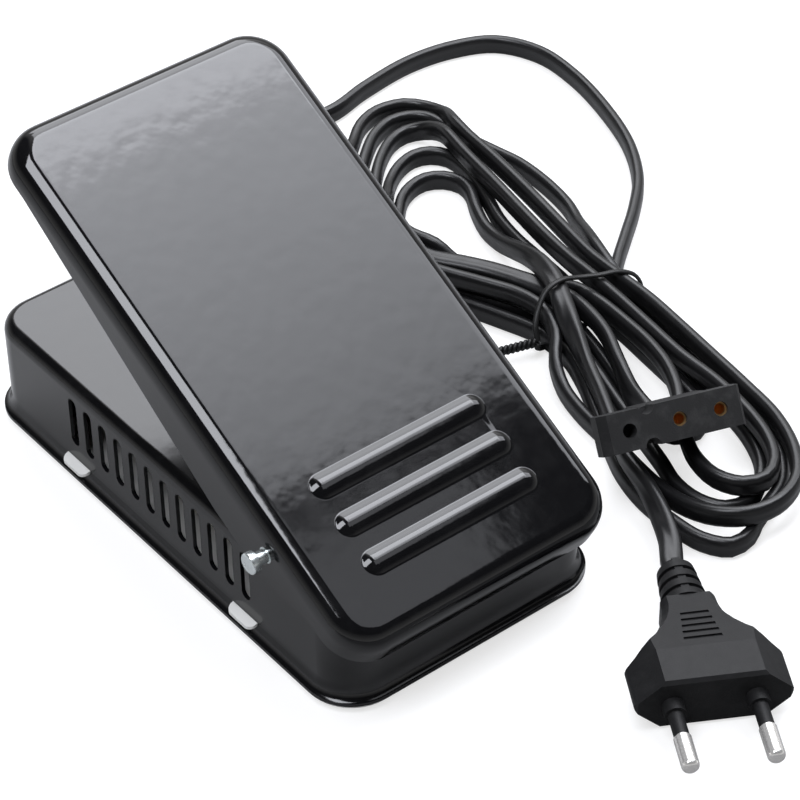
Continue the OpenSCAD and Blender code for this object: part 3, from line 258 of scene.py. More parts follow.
# %% Metals
zinc = finish("zinc_plate", (0.75, 0.75, 0.73), roughness=0.45, metallic=0.12, dust=(0.65, 0.65, 0.63),
              dust_amount=0.35, dust_scale=300, rough_spread=0.2, bump=0.1, depth=0.1)
bright_zinc = finish("bright_zinc", (0.72, 0.77, 0.77), roughness=0.25, metallic=0.9,
                     dust=(0.5, 0.5, 0.48), dust_amount=0.3, dust_scale=300, bump=0.1, depth=0.1)
steel = finish("bare_steel", (0.52, 0.52, 0.53), roughness=0.35, metallic=1.0, dust=(0.3, 0.28, 0.26),
               dust_amount=0.3, rough_spread=0.2, bump=0.1, depth=0.1)
nickel = finish("nickel_plate", (0.9, 0.88, 0.85), roughness=0.2, metallic=0.75, dust=(0.6, 0.58, 0.52),
                dust_amount=0.2, dust_scale=200, bump=0.05, depth=0.05)
brass = finish("brass", (0.80, 0.50, 0.22), roughness=0.3, metallic=1.0, dust=(0.45, 0.25, 0.1),
               dust_amount=0.5, dust_scale=500, rough_spread=0.2, bump=0.1, depth=0.1)
print("metals:", zinc.name, bright_zinc.name, steel.name, nickel.name, brass.name)

# %% [markdown]
# ## Vinyl and rubber
# The plug, the connector, the leads and the tie are black vinyl. Moulded vinyl takes the fine grain of
# its mould and looks matte, while a drawn lead is smoother and has a satin sheen along its length. The
# grain could be modelled, but at this size fine noise in the bumps is enough. The feet and the sleeves
# are rubber, which is rougher still.

# %% Vinyl and rubber
plug_vinyl = finish("plug_vinyl", (0.009, 0.009, 0.0095), roughness=0.5, dust=(0.05, 0.05, 0.05),
                    dust_amount=0.15, dust_scale=160, fine=2600, coarse=500, fine_share=0.8, bump=0.35,
                    depth=0.12, Specular_IOR_Level=0.2)
connector_vinyl = finish("connector_vinyl", (0.017, 0.017, 0.0175), roughness=0.55,
                         dust=(0.08, 0.08, 0.08), dust_amount=0.3, dust_scale=220, fine=2200, coarse=500,
                         fine_share=0.8, bump=0.4, depth=0.12, Specular_IOR_Level=0.25)
lead_vinyl = finish("lead_vinyl", (0.007, 0.007, 0.0075), roughness=0.33, dust=(0.04, 0.04, 0.04),
                    dust_amount=0.12, fine=1500, coarse=260, fine_share=0.4, bump=0.14, depth=0.15,
                    Specular_IOR_Level=0.38)
tie_vinyl = finish("tie_vinyl", (0.008, 0.008, 0.008), roughness=0.45, dust_amount=0.05, bump=0.1,
                   Specular_IOR_Level=0.3)
rubber = finish("black_rubber", (0.014, 0.014, 0.014), roughness=0.7, dust=(0.08, 0.08, 0.08),
                dust_amount=0.3, bump=0.2)
print("vinyl:", plug_vinyl.name, connector_vinyl.name, lead_vinyl.name, tie_vinyl.name, rubber.name)

# %% [markdown]
# ## Materials inside the casing
# The speed control is a pile of carbon discs in a glazed block, worked by a brown moulded yoke. Little of
# it shows, so one grey could do for all, but then the pieces of an opened pedal would look alike. These
# finishes keep most of the builder's usual values.

# %% Finishes inside the casing
nylon = finish("nylon", (0.8, 0.78, 0.7), roughness=0.4, dust=(0.5, 0.48, 0.4), bump=0.05)
ceramic = finish("glazed_ceramic", (0.85, 0.82, 0.74), roughness=0.2, dust=(0.5, 0.45, 0.38), bump=0.05)
carbon = finish("carbon", (0.03, 0.03, 0.03), roughness=0.6, dust=(0.1, 0.1, 0.1), bump=0.2)
phenolic = finish("phenolic", (0.09, 0.035, 0.02), roughness=0.35, dust=(0.2, 0.12, 0.08), bump=0.1)
wire_skin = finish("wire_skin", (0.3, 0.04, 0.03), roughness=0.4, dust=(0.3, 0.1, 0.08), bump=0.1)
print("finishes:", len(bpy.data.materials))

# %% [markdown]
# ## The routes of the two leads
# Each lead is one flat twin cord. The mains lead leaves the casing, makes a wide arc on the floor and
# three turns in the hank, and ends in the plug. The motor lead makes two turns and ends in the connector.
# A cable could be simulated, but a hank is folded by hand, so the routes are listed point by point: each
# point is a place on the floor in millimetres with a height. A fourth number turns the flat section, in
# degrees: 0 lies flat and 90 stands on edge. Without it the lead stands on edge.

# %% Route of the mains lead
MAINS_ROUTE = [
    (10.5, 45, 14, 0), (10.5, 58, 14, 0), (10.5, 71, 14, 0), (10.5, 84, 14, 0), (10.6, 94, 14, 0),
    (12, 102, 13, 0), (16, 110, 11, 15), (24, 117, 8, 35), (35, 120.5, 5.3, 60), (50, 120.5, 3.5, 85),
    (74, 117, 2.8),
    # the wide arc
    (100, 113, 2.8), (114, 116, 2.8), (131, 118, 2.8), (145, 116, 2.8), (156, 110.5, 2.8),
    (162, 99, 2.8), (162, 84, 2.8), (158, 66, 2.8), (152, 50, 2.8), (143.5, 37, 2.8), (134, 28, 2.8),
    (125, 21, 2.8), (115.5, 13.5, 2.8), (107.3, 5, 2.8),
    # first turn at the front
    (104.5, -6, 2.8), (102.5, -18, 2.8), (100.5, -32, 2.8), (98.5, -46, 2.8), (95.5, -57, 2.8),
    (91, -65.5, 2.8), (85.5, -70.5, 2.8), (79.5, -73, 2.8), (74, -71.5, 2.8), (71, -66, 2.8),
    (70.8, -58.5, 2.8), (73.5, -50, 2.8), (76.3, -40, 2.8), (79.3, -29, 2.8), (83, -17, 2.8),
    (86.2, -5, 2.8), (87.6, 4.5, 2.9),
    # first turn at the back
    (85.3, 13.5, 2.8), (80.3, 23.5, 2.8), (75.2, 35, 2.8), (72.2, 45, 2.8), (73.6, 55, 2.8),
    (78, 64.5, 2.8), (83.8, 73, 2.8), (90, 80.3, 2.8), (97, 87, 2.8), (104, 91.6, 2.8),
    (109.6, 92.6, 2.9), (113.6, 90, 3.8), (114.6, 85, 6), (113.4, 79.5, 8), (112, 73, 8.2),
    # back to the tie on top of the others
    (110.8, 66.6, 8.2), (108.8, 54, 8.2), (106.5, 41.2, 8.2), (104.3, 28.7, 8.3), (102.7, 17.2, 8.6),
    (101.8, 7, 9.1),
    # second turn at the front
    (100.9, -3, 9.2), (99.5, -16.5, 9), (98.4, -29, 8.6), (98.6, -41, 8.2), (97, -54, 8.1),
    (93.8, -64.5, 8.1), (89.3, -71.3, 8.1), (84, -74, 8.1), (78.6, -72, 8.1), (75.6, -66, 8.1),
    (76.6, -58, 8), (79.5, -52, 7.8), (84.5, -44, 8), (89.3, -37.5, 8.6), (93, -30, 8.8),
    (95.4, -21, 8.7), (96.6, -11, 8.5), (97.2, 0, 8.3), (97, 8, 7.4),
    # second turn at the back
    (95, 14.5, 5.2), (90.3, 23.5, 3.2), (85.6, 33, 3.1), (83, 39.5, 4.6), (80.9, 44.5, 7.8),
    (78.6, 50.5, 8.3), (78.6, 57, 8.3), (82, 64.8, 7.4), (86.3, 70.4, 4.6), (91.8, 76.6, 3),
    (98.2, 81, 2.8), (104.4, 82.6, 2.8), (109, 81, 2.8), (111.8, 77, 2.8), (112, 71.5, 2.8),
    (110.3, 63, 2.8), (107.6, 55, 2.8), (104.4, 46.5, 2.8), (102.5, 37.5, 2.8), (101.7, 28.4, 2.8),
    (100.9, 19.3, 2.8), (99.8, 10, 2.9),
    # third turn at the front, behind the connector
    (99.6, 2, 2.9), (99, -8, 2.8), (97.8, -18, 2.8), (96.6, -28, 2.8), (95.3, -36, 2.8),
    (93.2, -42.4, 2.8), (88.2, -46.4, 2.8), (82.9, -44.2, 2.8), (80.9, -37.8, 2.8), (82.2, -31, 2.8),
    (84.2, -24.5, 2.8), (86.9, -16, 2.8), (89.7, -6, 2.8), (91.3, 4.5, 2.9),
    # third turn at the back
    (89.3, 13.5, 2.8), (84.3, 23.5, 2.8), (79.6, 35, 2.8), (77.2, 45, 2.8), (78.2, 53, 2.8),
    (81.6, 60, 2.8), (86.6, 66, 2.8), (90.6, 69.8, 2.8), (95.3, 72.2, 2.8), (100.4, 72.7, 2.8),
    (104.8, 70.2, 2.8), (107, 65.7, 2.8), (106.2, 60.7, 2.8), (102.9, 54.6, 2.8), (99.7, 46.9, 2.8),
    (98.3, 40, 3.6), (97.3, 33.5, 5.6), (96.3, 27, 8.1, 75), (94.9, 20.5, 10.2, 50),
    (93, 14.5, 11.6, 30),
    # over the hank and into the plug
    (90.6, 8.5, 12.3, 15), (87.3, 2, 12.2, 10), (83.5, -6, 10.8, 40), (79, -16.5, 9.2, 80),
    (74.5, -27, 8.5), (69.5, -37, 8.2), (64.5, -47, 8), (61.7, -57, 7.8, 70), (57.8, -67, 7.3, 40),
    (53.5, -75, 6.9, 10), (49.8, -79.6, 6.85, 0), (47.6, -83.4, 6.85, 0), (45, -87.9, 6.85, 0)]
print("mains route:", len(MAINS_ROUTE), "points")

# %% Route of the motor lead
MOTOR_ROUTE = [
    (22.5, 45, 14, 0), (22.5, 58, 14, 0), (22.5, 71, 14, 0), (22.5, 84, 14, 0), (22.6, 94, 14, 0),
    (24, 100, 13, 0), (28, 107, 10.5, 15), (35, 111.5, 7.5, 35), (43, 113, 5.2, 60),
    (51, 111, 3.7, 85), (57.5, 105.5, 2.9), (61.5, 97, 2.8), (63.5, 85, 2.8), (64.5, 69, 2.8),
    (66, 54, 2.8), (68.2, 45, 2.8), (71.5, 35, 2.8), (75.5, 25.5, 2.8), (79.3, 15.5, 2.8),
    (82.2, 5.5, 3),
    # first turn at the front, under the others
    (82.2, -5, 2.9), (78.8, -15.5, 2.8), (74, -25.5, 2.8), (68.5, -36.5, 2.8), (63.8, -47, 2.8),
    (61.5, -57, 2.8), (61.4, -67, 2.8), (62.6, -76, 2.8), (66.6, -81.6, 2.8), (72.5, -81.5, 2.8),
    (77, -79, 2.8), (82.5, -76.7, 2.8), (90, -73.5, 2.8), (97, -66, 2.8), (102, -55, 2.8),
    (104.5, -43, 2.8), (106, -30, 2.8), (107.3, -17, 2.8), (108.5, -6, 3), (109, 2.5, 4.4),
    # first turn at the back, bulging to the right
    (109.7, 10, 7.4), (111.7, 17, 8), (115, 24.5, 6.2), (118.3, 31.5, 3.8), (122.1, 40.5, 2.8),
    (123.9, 51.7, 2.8), (124, 62.2, 2.8), (122.7, 69, 2.8), (121.3, 76, 2.8), (120, 83, 2.8),
    (119.4, 89.5, 2.8), (118.2, 94.4, 2.8), (114.6, 97.6, 2.8), (109.6, 98.8, 2.8),
    (102.8, 96.8, 2.8), (95.6, 91.5, 2.8), (88.2, 84.4, 2.8), (80.5, 75.2, 2.8), (74.3, 65, 3.5),
    (71.3, 55, 6.5), (70.9, 46, 8), (74, 35.5, 8.1), (79.7, 24, 8.1), (84, 14.5, 8.1),
    (84.8, 6.5, 8.1),
    # second turn at the front, the outermost
    (81.3, -2.5, 7.7), (75.9, -8.6, 5.8), (73, -15, 3.4), (70.9, -23.5, 2.8), (69.7, -32.5, 2.8),
    (68.8, -41, 2.8), (67.6, -49.5, 2.8), (66.4, -58.5, 3.6), (66, -67, 5.3), (67.8, -74.7, 7),
    (72.8, -80, 7.8), (80.3, -81.8, 8.1), (88.8, -79, 8.1), (95.6, -71.5, 8.1), (100.7, -60, 8.1),
    (103, -46.5, 8.1), (104.6, -33, 8.2), (106, -20.3, 8.4), (107, -8, 8.8), (107, 3, 9),
    # second turn at the back, the outermost
    (107.2, 9, 8.8), (107.8, 15.5, 8.5), (109.9, 27.4, 8.3), (112.2, 40, 8.2), (114.4, 53.6, 8.2),
    (115.9, 64.6, 8.2), (116.9, 74.5, 8.2), (118.7, 83.3, 7.8), (120.9, 88.3, 5.8), (122.2, 93, 3.7),
    (121.3, 98.2, 2.8), (117.4, 102.9, 2.8), (109.7, 104.9, 2.8), (102.5, 102.7, 2.8),
    (95.9, 97.5, 2.8), (89.5, 91.7, 4.2), (84, 84.5, 6.6), (80.5, 76, 8, 80), (78.3, 66, 8.1, 55),
    (77, 56, 7.8, 25), (76.8, 48, 7.3, 5),
    # across the hank and into the connector
    (78.2, 41.5, 7.1, 0), (82.1, 35.5, 7.1, 0), (86.2, 28.5, 7.1, 0), (89.3, 21, 7.3, 0),
    (91.3, 13, 8, 20), (92.2, 5, 8.7, 60), (92.2, -3, 8.6), (90.3, -11, 8.4), (86, -20.5, 8),
    (81.8, -30, 6.8, 60), (79.9, -37, 7.3, 20), (79, -42.3, 9.2, 0), (78.1, -46.3, 12.3, 0)]
print("motor route:", len(MOTOR_ROUTE), "points")

# %% [markdown]
# ## From a route to a smooth curve
# A curve through the points must not overshoot where they are close together. It could be drawn with
# handles set by hand, but there are hundreds of points. Here each point's slope comes from its two
# neighbours, weighted by the square root of their distance, which keeps the curve close to the points.

# %% Smooth curve through a route
ON_EDGE = 90.0
LEAD_STEP = 2.5


def smooth_route(route, step):
    knots = [Vector((*point, ON_EDGE)[:4]) for point in route]
    knots = [2*knots[0] - knots[1]] + knots + [2*knots[-1] - knots[-2]]
    gaps = [(b.xyz - a.xyz).length**0.5 for a, b in zip(knots, knots[1:])]

    def slope(i):
        before, after = knots[i] - knots[i - 1], knots[i + 1] - knots[i]
        return before/gaps[i - 1] - (before + after)/(gaps[i - 1] + gaps[i]) + after/gaps[i]

    dense = []
    for i in range(1, len(knots) - 2):
        start, end = knots[i], knots[i + 1]
        leave, arrive = gaps[i]*slope(i), gaps[i]*slope(i + 1)
        count = max(2, round((end.xyz - start.xyz).length/step))
        for t in (k/count for k in range(count)):
            ease = t*t*(3 - 2*t)
            dense.append(start + (end - start)*ease + leave*t*(1 - t)**2 - arrive*t*t*(1 - t))
    dense.append(knots[-2])
    return [(Vector(p.xyz)*MM, radians(p.w)) for p in dense]


mains_points = smooth_route(MAINS_ROUTE, LEAD_STEP)
motor_points = smooth_route(MOTOR_ROUTE, LEAD_STEP)

# %% [markdown]
# ## The flat twin lead
# The lead is two wires in one vinyl skin, so its section is a flat oval with a shallow groove along each
# side. It could be drawn as a bevelled curve, but a Geometry Nodes tree lets the section follow a rule: a
# circle is stretched to the width and the thickness, squared off a little, and pinched in the middle.


# %% How every tree ends
def end_tree(tree, mesh, material, result):
    smooth = add_node(tree, "GeometryNodeSetShadeSmooth", {"Geometry": mesh})
    real = add_node(tree, "GeometryNodeRealizeInstances", {"Geometry": smooth.outputs[0]})
    coated = add_node(tree, "GeometryNodeSetMaterial", {"Geometry": real.outputs[0],
                                                        "Material": material})
    tree.links.new(coated.outputs[0], result["Geometry"])


print("helper for trees:", end_tree.__name__)

# %% Tree that sweeps a flat section along a curve
GROOVE_NARROWNESS = 14.0


def sweep_tree():
    inputs = [("Geometry", GEOMETRY, None), ("Width", FLOAT, 0.0054), ("Thickness", FLOAT, 0.0034),
              ("Groove", FLOAT, 0.12), ("Squareness", FLOAT, 0.7), ("Sides", INTEGER, 28),
              ("Finish", MATERIAL, None)]
    outputs = [("Geometry", GEOMETRY, None)]
    tree, given, result = new_group("lead_sweep", "GeometryNodeTree", inputs, outputs)
    circle = add_node(tree, "GeometryNodeCurvePrimitiveCircle", {"Resolution": given["Sides"],
                                                                 "Radius": 1.0})
    spot = split(tree, add_node(tree, "GeometryNodeInputPosition").outputs[0])
    x, y = spot["X"], spot["Y"]
    full = math_node(tree, "POWER", math_node(tree, "ABSOLUTE", y), given["Squareness"])
    full = times(tree, full, math_node(tree, "SIGN", y))
    middle = math_node(tree, "EXPONENT", times(tree, times(tree, x, x), -GROOVE_NARROWNESS))
    pinch = math_node(tree, "SUBTRACT", 1.0, times(tree, middle, given["Groove"]))
    across = times(tree, times(tree, x, 0.5), given["Width"])
    through = times(tree, times(tree, full, pinch), times(tree, given["Thickness"], 0.5))
    place = add_node(tree, "ShaderNodeCombineXYZ", {"X": across, "Y": through}).outputs[0]
    section = add_node(tree, "GeometryNodeSetPosition", {"Geometry": circle.outputs["Curve"],
                                                         "Position": place})
    upright = add_node(tree, "GeometryNodeSetCurveNormal", {"Curve": given["Geometry"]}, mode="Z_UP")
    swept = add_node(tree, "GeometryNodeCurveToMesh", {"Curve": upright.outputs[0], "Fill Caps": True,
                                                       "Profile Curve": section.outputs["Geometry"]})
    end_tree(tree, swept.outputs["Mesh"], given["Finish"], result)
    return tree


SWEEP = sweep_tree()
print("tree:", SWEEP.name, len(SWEEP.nodes), "nodes")


# %% Curves become plain meshes
def poly_curve(name, points):
    data = bpy.data.curves.new(name, "CURVE")
    data.dimensions = "3D"
    line = data.splines.new("POLY")
    line.points.add(len(points) - 1)
    for spot, (place, turn) in zip(line.points, points):
        spot.co = (*place, 1)
        spot.tilt = turn
    obj = bpy.data.objects.new(name, data)
    scene.collection.objects.link(obj)
    return obj


def run_tree(obj, tree, values):
    modifier = obj.modifiers.new(tree.name, "NODES")
    modifier.node_group = tree
    for item in tree.interface.items_tree:
        if item.in_out == "INPUT" and item.name in values:
            modifier[item.identifier] = values[item.name]
    made = obj.evaluated_get(bpy.context.evaluated_depsgraph_get())
    mesh = bpy.data.meshes.new_from_object(made)
    name = obj.name
    bpy.data.objects.remove(obj)
    mesh.name = name
    plain = bpy.data.objects.new(name, mesh)
    scene.collection.objects.link(plain)
    return plain


print("helpers for curves:", poly_curve.__name__, run_tree.__name__)

# %% The two leads
LEAD_W, LEAD_T = 5.4*MM, 3.4*MM
LEAD_SIZES = {"Width": LEAD_W, "Thickness": LEAD_T, "Groove": 0.12, "Squareness": 0.7, "Sides": 28,
              "Finish": lead_vinyl}
mains_cord = run_tree(poly_curve("mains_cord", mains_points), SWEEP, LEAD_SIZES)
motor_cord = run_tree(poly_curve("motor_cord", motor_points), SWEEP, LEAD_SIZES)
print("lead meshes:", len(mains_cord.data.polygons), len(motor_cord.data.polygons), "faces")

# %% [markdown]
# ## The wire tie
# A thin vinyl-covered wire goes once round the hank, and its two ends are twisted together. The loop is a
# route like the leads. The twist follows a rule, so a tree makes it from the Spiral node: two spirals,
# half a turn apart, swept with a round section, with a small eye at their end.

# %% Loop of the tie
TIE_LOOP = [
    (78.5, 1, 5.4), (79.4, 3, 8.2), (82.3, 5.2, 11.4), (86, 6.6, 14.2), (91, 6.8, 14.8), (96, 6, 13.6),
    (101, 4.2, 12.9), (106, 2.6, 12.5), (110, 1.2, 10.4), (112, 0.6, 6.5), (111.4, 0.8, 2.6),
    (108, 1.4, 0.9), (100, 2.4, 0.8), (90, 3, 0.8), (82, 2.4, 0.9), (79, 1.6, 2.4), (78.5, 1, 4.8)]
FLAT_DOWN = 0
TIE_STEP = 1.0
TIE_SIZES = {"Width": 1.5*MM, "Thickness": 1.0*MM, "Groove": 0.0, "Squareness": 0.8, "Sides": 12,
             "Finish": tie_vinyl}
tie_points = smooth_route([(*point, FLAT_DOWN) for point in TIE_LOOP], TIE_STEP)
tie_loop = run_tree(poly_curve("hank_tie_loop", tie_points), SWEEP, TIE_SIZES)
print("tie loop:", len(tie_loop.data.polygons), "faces")

# %% Tree of the twisted tail
WIRE_SIDES, TURN_STEPS, EYE_STEPS = 8, 16, 20


def twist_tree():
    inputs = [("Geometry", GEOMETRY, None), ("Length", FLOAT, 0.012), ("Turns", FLOAT, 4.0),
              ("Radius", FLOAT, 0.0007), ("Wire", FLOAT, 0.0005), ("Eye", FLOAT, 0.0014),
              ("Finish", MATERIAL, None)]
    outputs = [("Geometry", GEOMETRY, None)]
    tree, given, result = new_group("twisted_tail", "GeometryNodeTree", inputs, outputs)
    section = add_node(tree, "GeometryNodeCurvePrimitiveCircle", {"Resolution": WIRE_SIDES,
                                                                  "Radius": given["Wire"]})
    spiral = add_node(tree, "GeometryNodeCurveSpiral", {
        "Resolution": TURN_STEPS, "Rotations": given["Turns"], "Height": given["Length"],
        "Start Radius": given["Radius"], "End Radius": given["Radius"]})
    join = add_node(tree, "GeometryNodeJoinGeometry")
    for angle in (0.0, pi):
        turned = add_node(tree, "GeometryNodeTransform", {"Geometry": spiral.outputs[0],
                                                          "Rotation": (0.0, 0.0, angle)})
        swept = add_node(tree, "GeometryNodeCurveToMesh", {
            "Curve": turned.outputs[0], "Profile Curve": section.outputs["Curve"], "Fill Caps": True})
        tree.links.new(swept.outputs[0], join.inputs[0])
    ring = add_node(tree, "GeometryNodeCurvePrimitiveCircle", {"Resolution": EYE_STEPS,
                                                               "Radius": given["Eye"]})
    reach = math_node(tree, "ADD", given["Length"], given["Eye"])
    end = add_node(tree, "ShaderNodeCombineXYZ", {"Z": reach})
    placed = add_node(tree, "GeometryNodeTransform", {
        "Geometry": ring.outputs["Curve"], "Translation": end.outputs[0], "Rotation": (pi/2, 0.0, 0.0)})
    eye = add_node(tree, "GeometryNodeCurveToMesh", {"Curve": placed.outputs[0],
                                                     "Profile Curve": section.outputs["Curve"]})
    tree.links.new(eye.outputs[0], join.inputs[0])
    end_tree(tree, join.outputs[0], given["Finish"], result)
    return tree


TWIST = twist_tree()
print("tree:", TWIST.name, len(TWIST.nodes), "nodes")

# %% Twisted tail of the tie
TAIL_FROM, TAIL_TO = Vector((78.6, 1.2, 5))*MM, Vector((70, 5.7, 3.4))*MM
TAIL_SIZES = {"Length": (TAIL_TO - TAIL_FROM).length, "Turns": 4.0, "Radius": 0.75*MM, "Wire": 0.55*MM,
              "Eye": 1.4*MM, "Finish": tie_vinyl}
# The tree needs an object to run on, but makes nothing of the stub's own shape.
stub = poly_curve("hank_tie_tail", [(Vector(), 0), (Vector((0, 0, MM)), 0)])
tail = run_tree(stub, TWIST, TAIL_SIZES)
lean = (TAIL_TO - TAIL_FROM).to_track_quat("Z", "Y").to_matrix().to_4x4()
tail.data.transform(Matrix.Translation(TAIL_FROM) @ lean)
for piece in (tie_loop, tail):
    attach(piece, "base")
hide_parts("hank_tie")
print("tie tail:", len(tail.data.polygons), "faces")

# %% [markdown]
# ## Dressing the solids
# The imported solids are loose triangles. They could be left with flat shading, but then every facet of a
# round face would show. So a copy of each one that shows is merged, and triangles in one plane become one
# face: round faces can be shaded smooth while real edges stay sharp. Moulded vinyl has soft edges, so the
# plug and the connector also get a narrow bevel. Normals weighted by area keep the large flats flat.

# %% Dress a solid
BODIES = frame["record"]["behaviour"]["bodies"]
BODY_OF = {node: body for body, nodes in BODIES.items() for node in nodes}
SLOT_OF = {part["node"]: part["material_slot"] for part in frame["record"]["subparts"]}
MERGE_WITHIN = 1e-6
ONE_PLANE = radians(0.3)
BEVEL_STEPS = 3


def dress(node, material, smooth_angle, bevel):
    mesh = frame["nodes"][node].data.copy()
    mesh.name = node + "_dressed"
    obj = bpy.data.objects.new(node + "_dressed", mesh)
    scene.collection.objects.link(obj)
    work = bmesh.new()
    work.from_mesh(mesh)
    bmesh.ops.remove_doubles(work, verts=work.verts, dist=MERGE_WITHIN)
    bmesh.ops.dissolve_limit(work, angle_limit=ONE_PLANE, verts=work.verts, edges=work.edges)
    work.to_mesh(mesh)
    work.free()
    mesh.polygons.foreach_set("use_smooth", [True]*len(mesh.polygons))
    mesh.set_sharp_from_angle(angle=radians(smooth_angle))
    mesh.materials.clear()
    mesh.materials.append(material)
    if bevel:
        edge = obj.modifiers.new("edge", "BEVEL")
        edge.width = bevel*MM
        edge.segments = BEVEL_STEPS
        edge.limit_method = "ANGLE"
        edge.angle_limit = radians(smooth_angle)
    flats = obj.modifiers.new("flats", "WEIGHTED_NORMAL")
    flats.keep_sharp = True
    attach(obj, BODY_OF[node])
    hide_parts(node)
    return obj


print("helper for solids:", dress.__name__)

# %% The dressed solids
# Each has a finish, the angle in degrees from which an edge stays sharp, and a bevel in millimetres.
DRESSED = {
    "base_casing": (casing_enamel, 32, 0), "treadle": (enamel, 32, 0), "bottom_plate": (zinc, 32, 0),
    "pivot_pin": (bright_zinc, 40, 0), "pin_cap": (bright_zinc, 40, 0), "rubber_feet": (rubber, 40, 0),
    "mains_sleeve": (rubber, 40, 0), "motor_sleeve": (rubber, 40, 0),
    "plug_body": (plug_vinyl, 24, 0.35), "plug_prongs": (nickel, 40, 0),
    "prong_skins": (plug_vinyl, 40, 0), "connector_body": (connector_vinyl, 30, 0.3),
    "return_spring": (steel, 40, 0)}
dressed = {node: dress(node, *values) for node, values in DRESSED.items()}
print("dressed:", len(dressed))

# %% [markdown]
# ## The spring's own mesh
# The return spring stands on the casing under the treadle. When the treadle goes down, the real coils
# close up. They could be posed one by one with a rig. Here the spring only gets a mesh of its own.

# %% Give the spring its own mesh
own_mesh(dressed["return_spring"])

# %% [markdown]
# ## The pieces inside
# The carbon pile, its yoke and the lead clamp hardly show, only through the slots. They could be dressed
# too, but their solids are right as they are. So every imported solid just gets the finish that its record
# names.

# %% Finishes of the other solids
FINISH_OF = {
    "black_paint": enamel, "zinc": zinc, "bare_steel": steel, "black_rubber": rubber, "nylon": nylon,
    "ceramic": ceramic, "carbon": carbon, "brass": brass, "phenolic": phenolic, "wire_skin": wire_skin,
    "lead_skin": lead_vinyl, "tie_skin": tie_vinyl, "plug_vinyl": plug_vinyl, "nickel": nickel}
for node, obj in frame["nodes"].items():
    obj.data.materials.clear()
    obj.data.materials.append(FINISH_OF[SLOT_OF[node]])
print("finished solids:", len(frame["nodes"]))

# %% [markdown]
# ## What each lead stands in for
# Real leads are soft, but here each lead is a plain mesh that rides on the base, and the imported
# pieces that it stands in for are hidden. Each lead leaves the casing through its rubber sleeve.

# %% Which pieces each lead stands in for
REPLACED = ((mains_cord, ("mains_lead", "plug_tail", "lead_hank")), (motor_cord, ("motor_lead",)))
for cord, nodes in REPLACED:
    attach(cord, "base")
    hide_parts(*nodes)

# %% [markdown]
# ## Floor
# The pedal stands on a plain white sweep. The floor could be lit until it clips, but then the shadow
# would be lost. So it gives off most of its white itself, to the camera only, and takes the rest from
# the lamps, and a faint shadow stays. Mirror-like reflections get a darker floor with a painted shadow,
# darkest in front of the pedal, where the lamps at the back would leave it in shade, so the black front
# wall mirrors a dark floor.

# %% Material of the floor
WHITE = (1, 1, 1, 1)
FLOOR_GLOW, FLOOR_LIT, FLOOR_PLAIN = 0.68, 0.36, 0.6
# painted shadow: the floor seen in reflections is darkest in front of the pedal and lighter behind
FRONT_Y, FRONT_SHADOW_GREY = -0.13, 0.15
BACK_Y, BACK_GREY = -0.05, 0.42


def grey(value):
    return (value, value, value, 1)


def seen_by_camera(tree, path):
    return math_node(tree, "MAXIMUM", path["Is Camera Ray"], path["Is Transmission Ray"])


def floor_material():
    material = bpy.data.materials.new("white_sweep")
    material.use_nodes = True
    tree = material.node_tree
    tree.nodes.clear()
    path = add_node(tree, "ShaderNodeLightPath").outputs
    lit = add_node(tree, "ShaderNodeBsdfDiffuse", {"Color": grey(FLOOR_LIT)})
    glow = add_node(tree, "ShaderNodeEmission", {"Color": WHITE, "Strength": FLOOR_GLOW})
    white = add_node(tree, "ShaderNodeAddShader", {0: lit.outputs[0], 1: glow.outputs[0]})
    plain = add_node(tree, "ShaderNodeBsdfDiffuse", {"Color": grey(FLOOR_PLAIN)})
    spot = split(tree, add_node(tree, "ShaderNodeTexCoord").outputs["Object"])
    # painted shadow: the floor seen in reflections turns darker towards the front of the pedal
    painted_shadow = ramp(tree, spot["Y"], start=FRONT_Y, end=BACK_Y, at_start=FRONT_SHADOW_GREY, at_end=BACK_GREY)
    dark = add_node(tree, "ShaderNodeBsdfDiffuse", {"Color": painted_shadow})
    unseen = add_node(tree, "ShaderNodeMixShader", {0: path["Is Glossy Ray"], 1: plain.outputs[0],
                                                    2: dark.outputs[0]})
    mix = add_node(tree, "ShaderNodeMixShader", {0: seen_by_camera(tree, path), 1: unseen.outputs[0],
                                                 2: white.outputs[0]})
    add_node(tree, "ShaderNodeOutputMaterial", {"Surface": mix.outputs[0]})
    return material


white_sweep = floor_material()
print("floor material:", white_sweep.name)

# %% Floor
HALF = 4.0
CORNERS = [(-HALF, -HALF, 0), (HALF, -HALF, 0), (HALF, HALF, 0), (-HALF, HALF, 0)]
floor_mesh = bpy.data.meshes.new("floor")
floor_mesh.from_pydata(CORNERS, [], [(0, 1, 2, 3)])
floor_mesh.materials.append(white_sweep)
floor = bpy.data.objects.new("floor", floor_mesh)
scene.collection.objects.link(floor)
print("floor:", 2*HALF, "m")

# %% [markdown]
# ## World
# Black enamel shows hardly anything but what it mirrors. A photo of a room could be mirrored, but ramps
# can be set edge by edge. The mirrored world is grey at the horizon and dark above. Only high up at the
# back right it is bright, for the top of the casing, so the casing's rounded left and back edges stay
# black. The camera sees plain white.

# %% World
SOFT_LIGHT = 0.22
HORIZON, OVERHEAD = 0.6, 0.03
BACK_LIGHT = 1.4


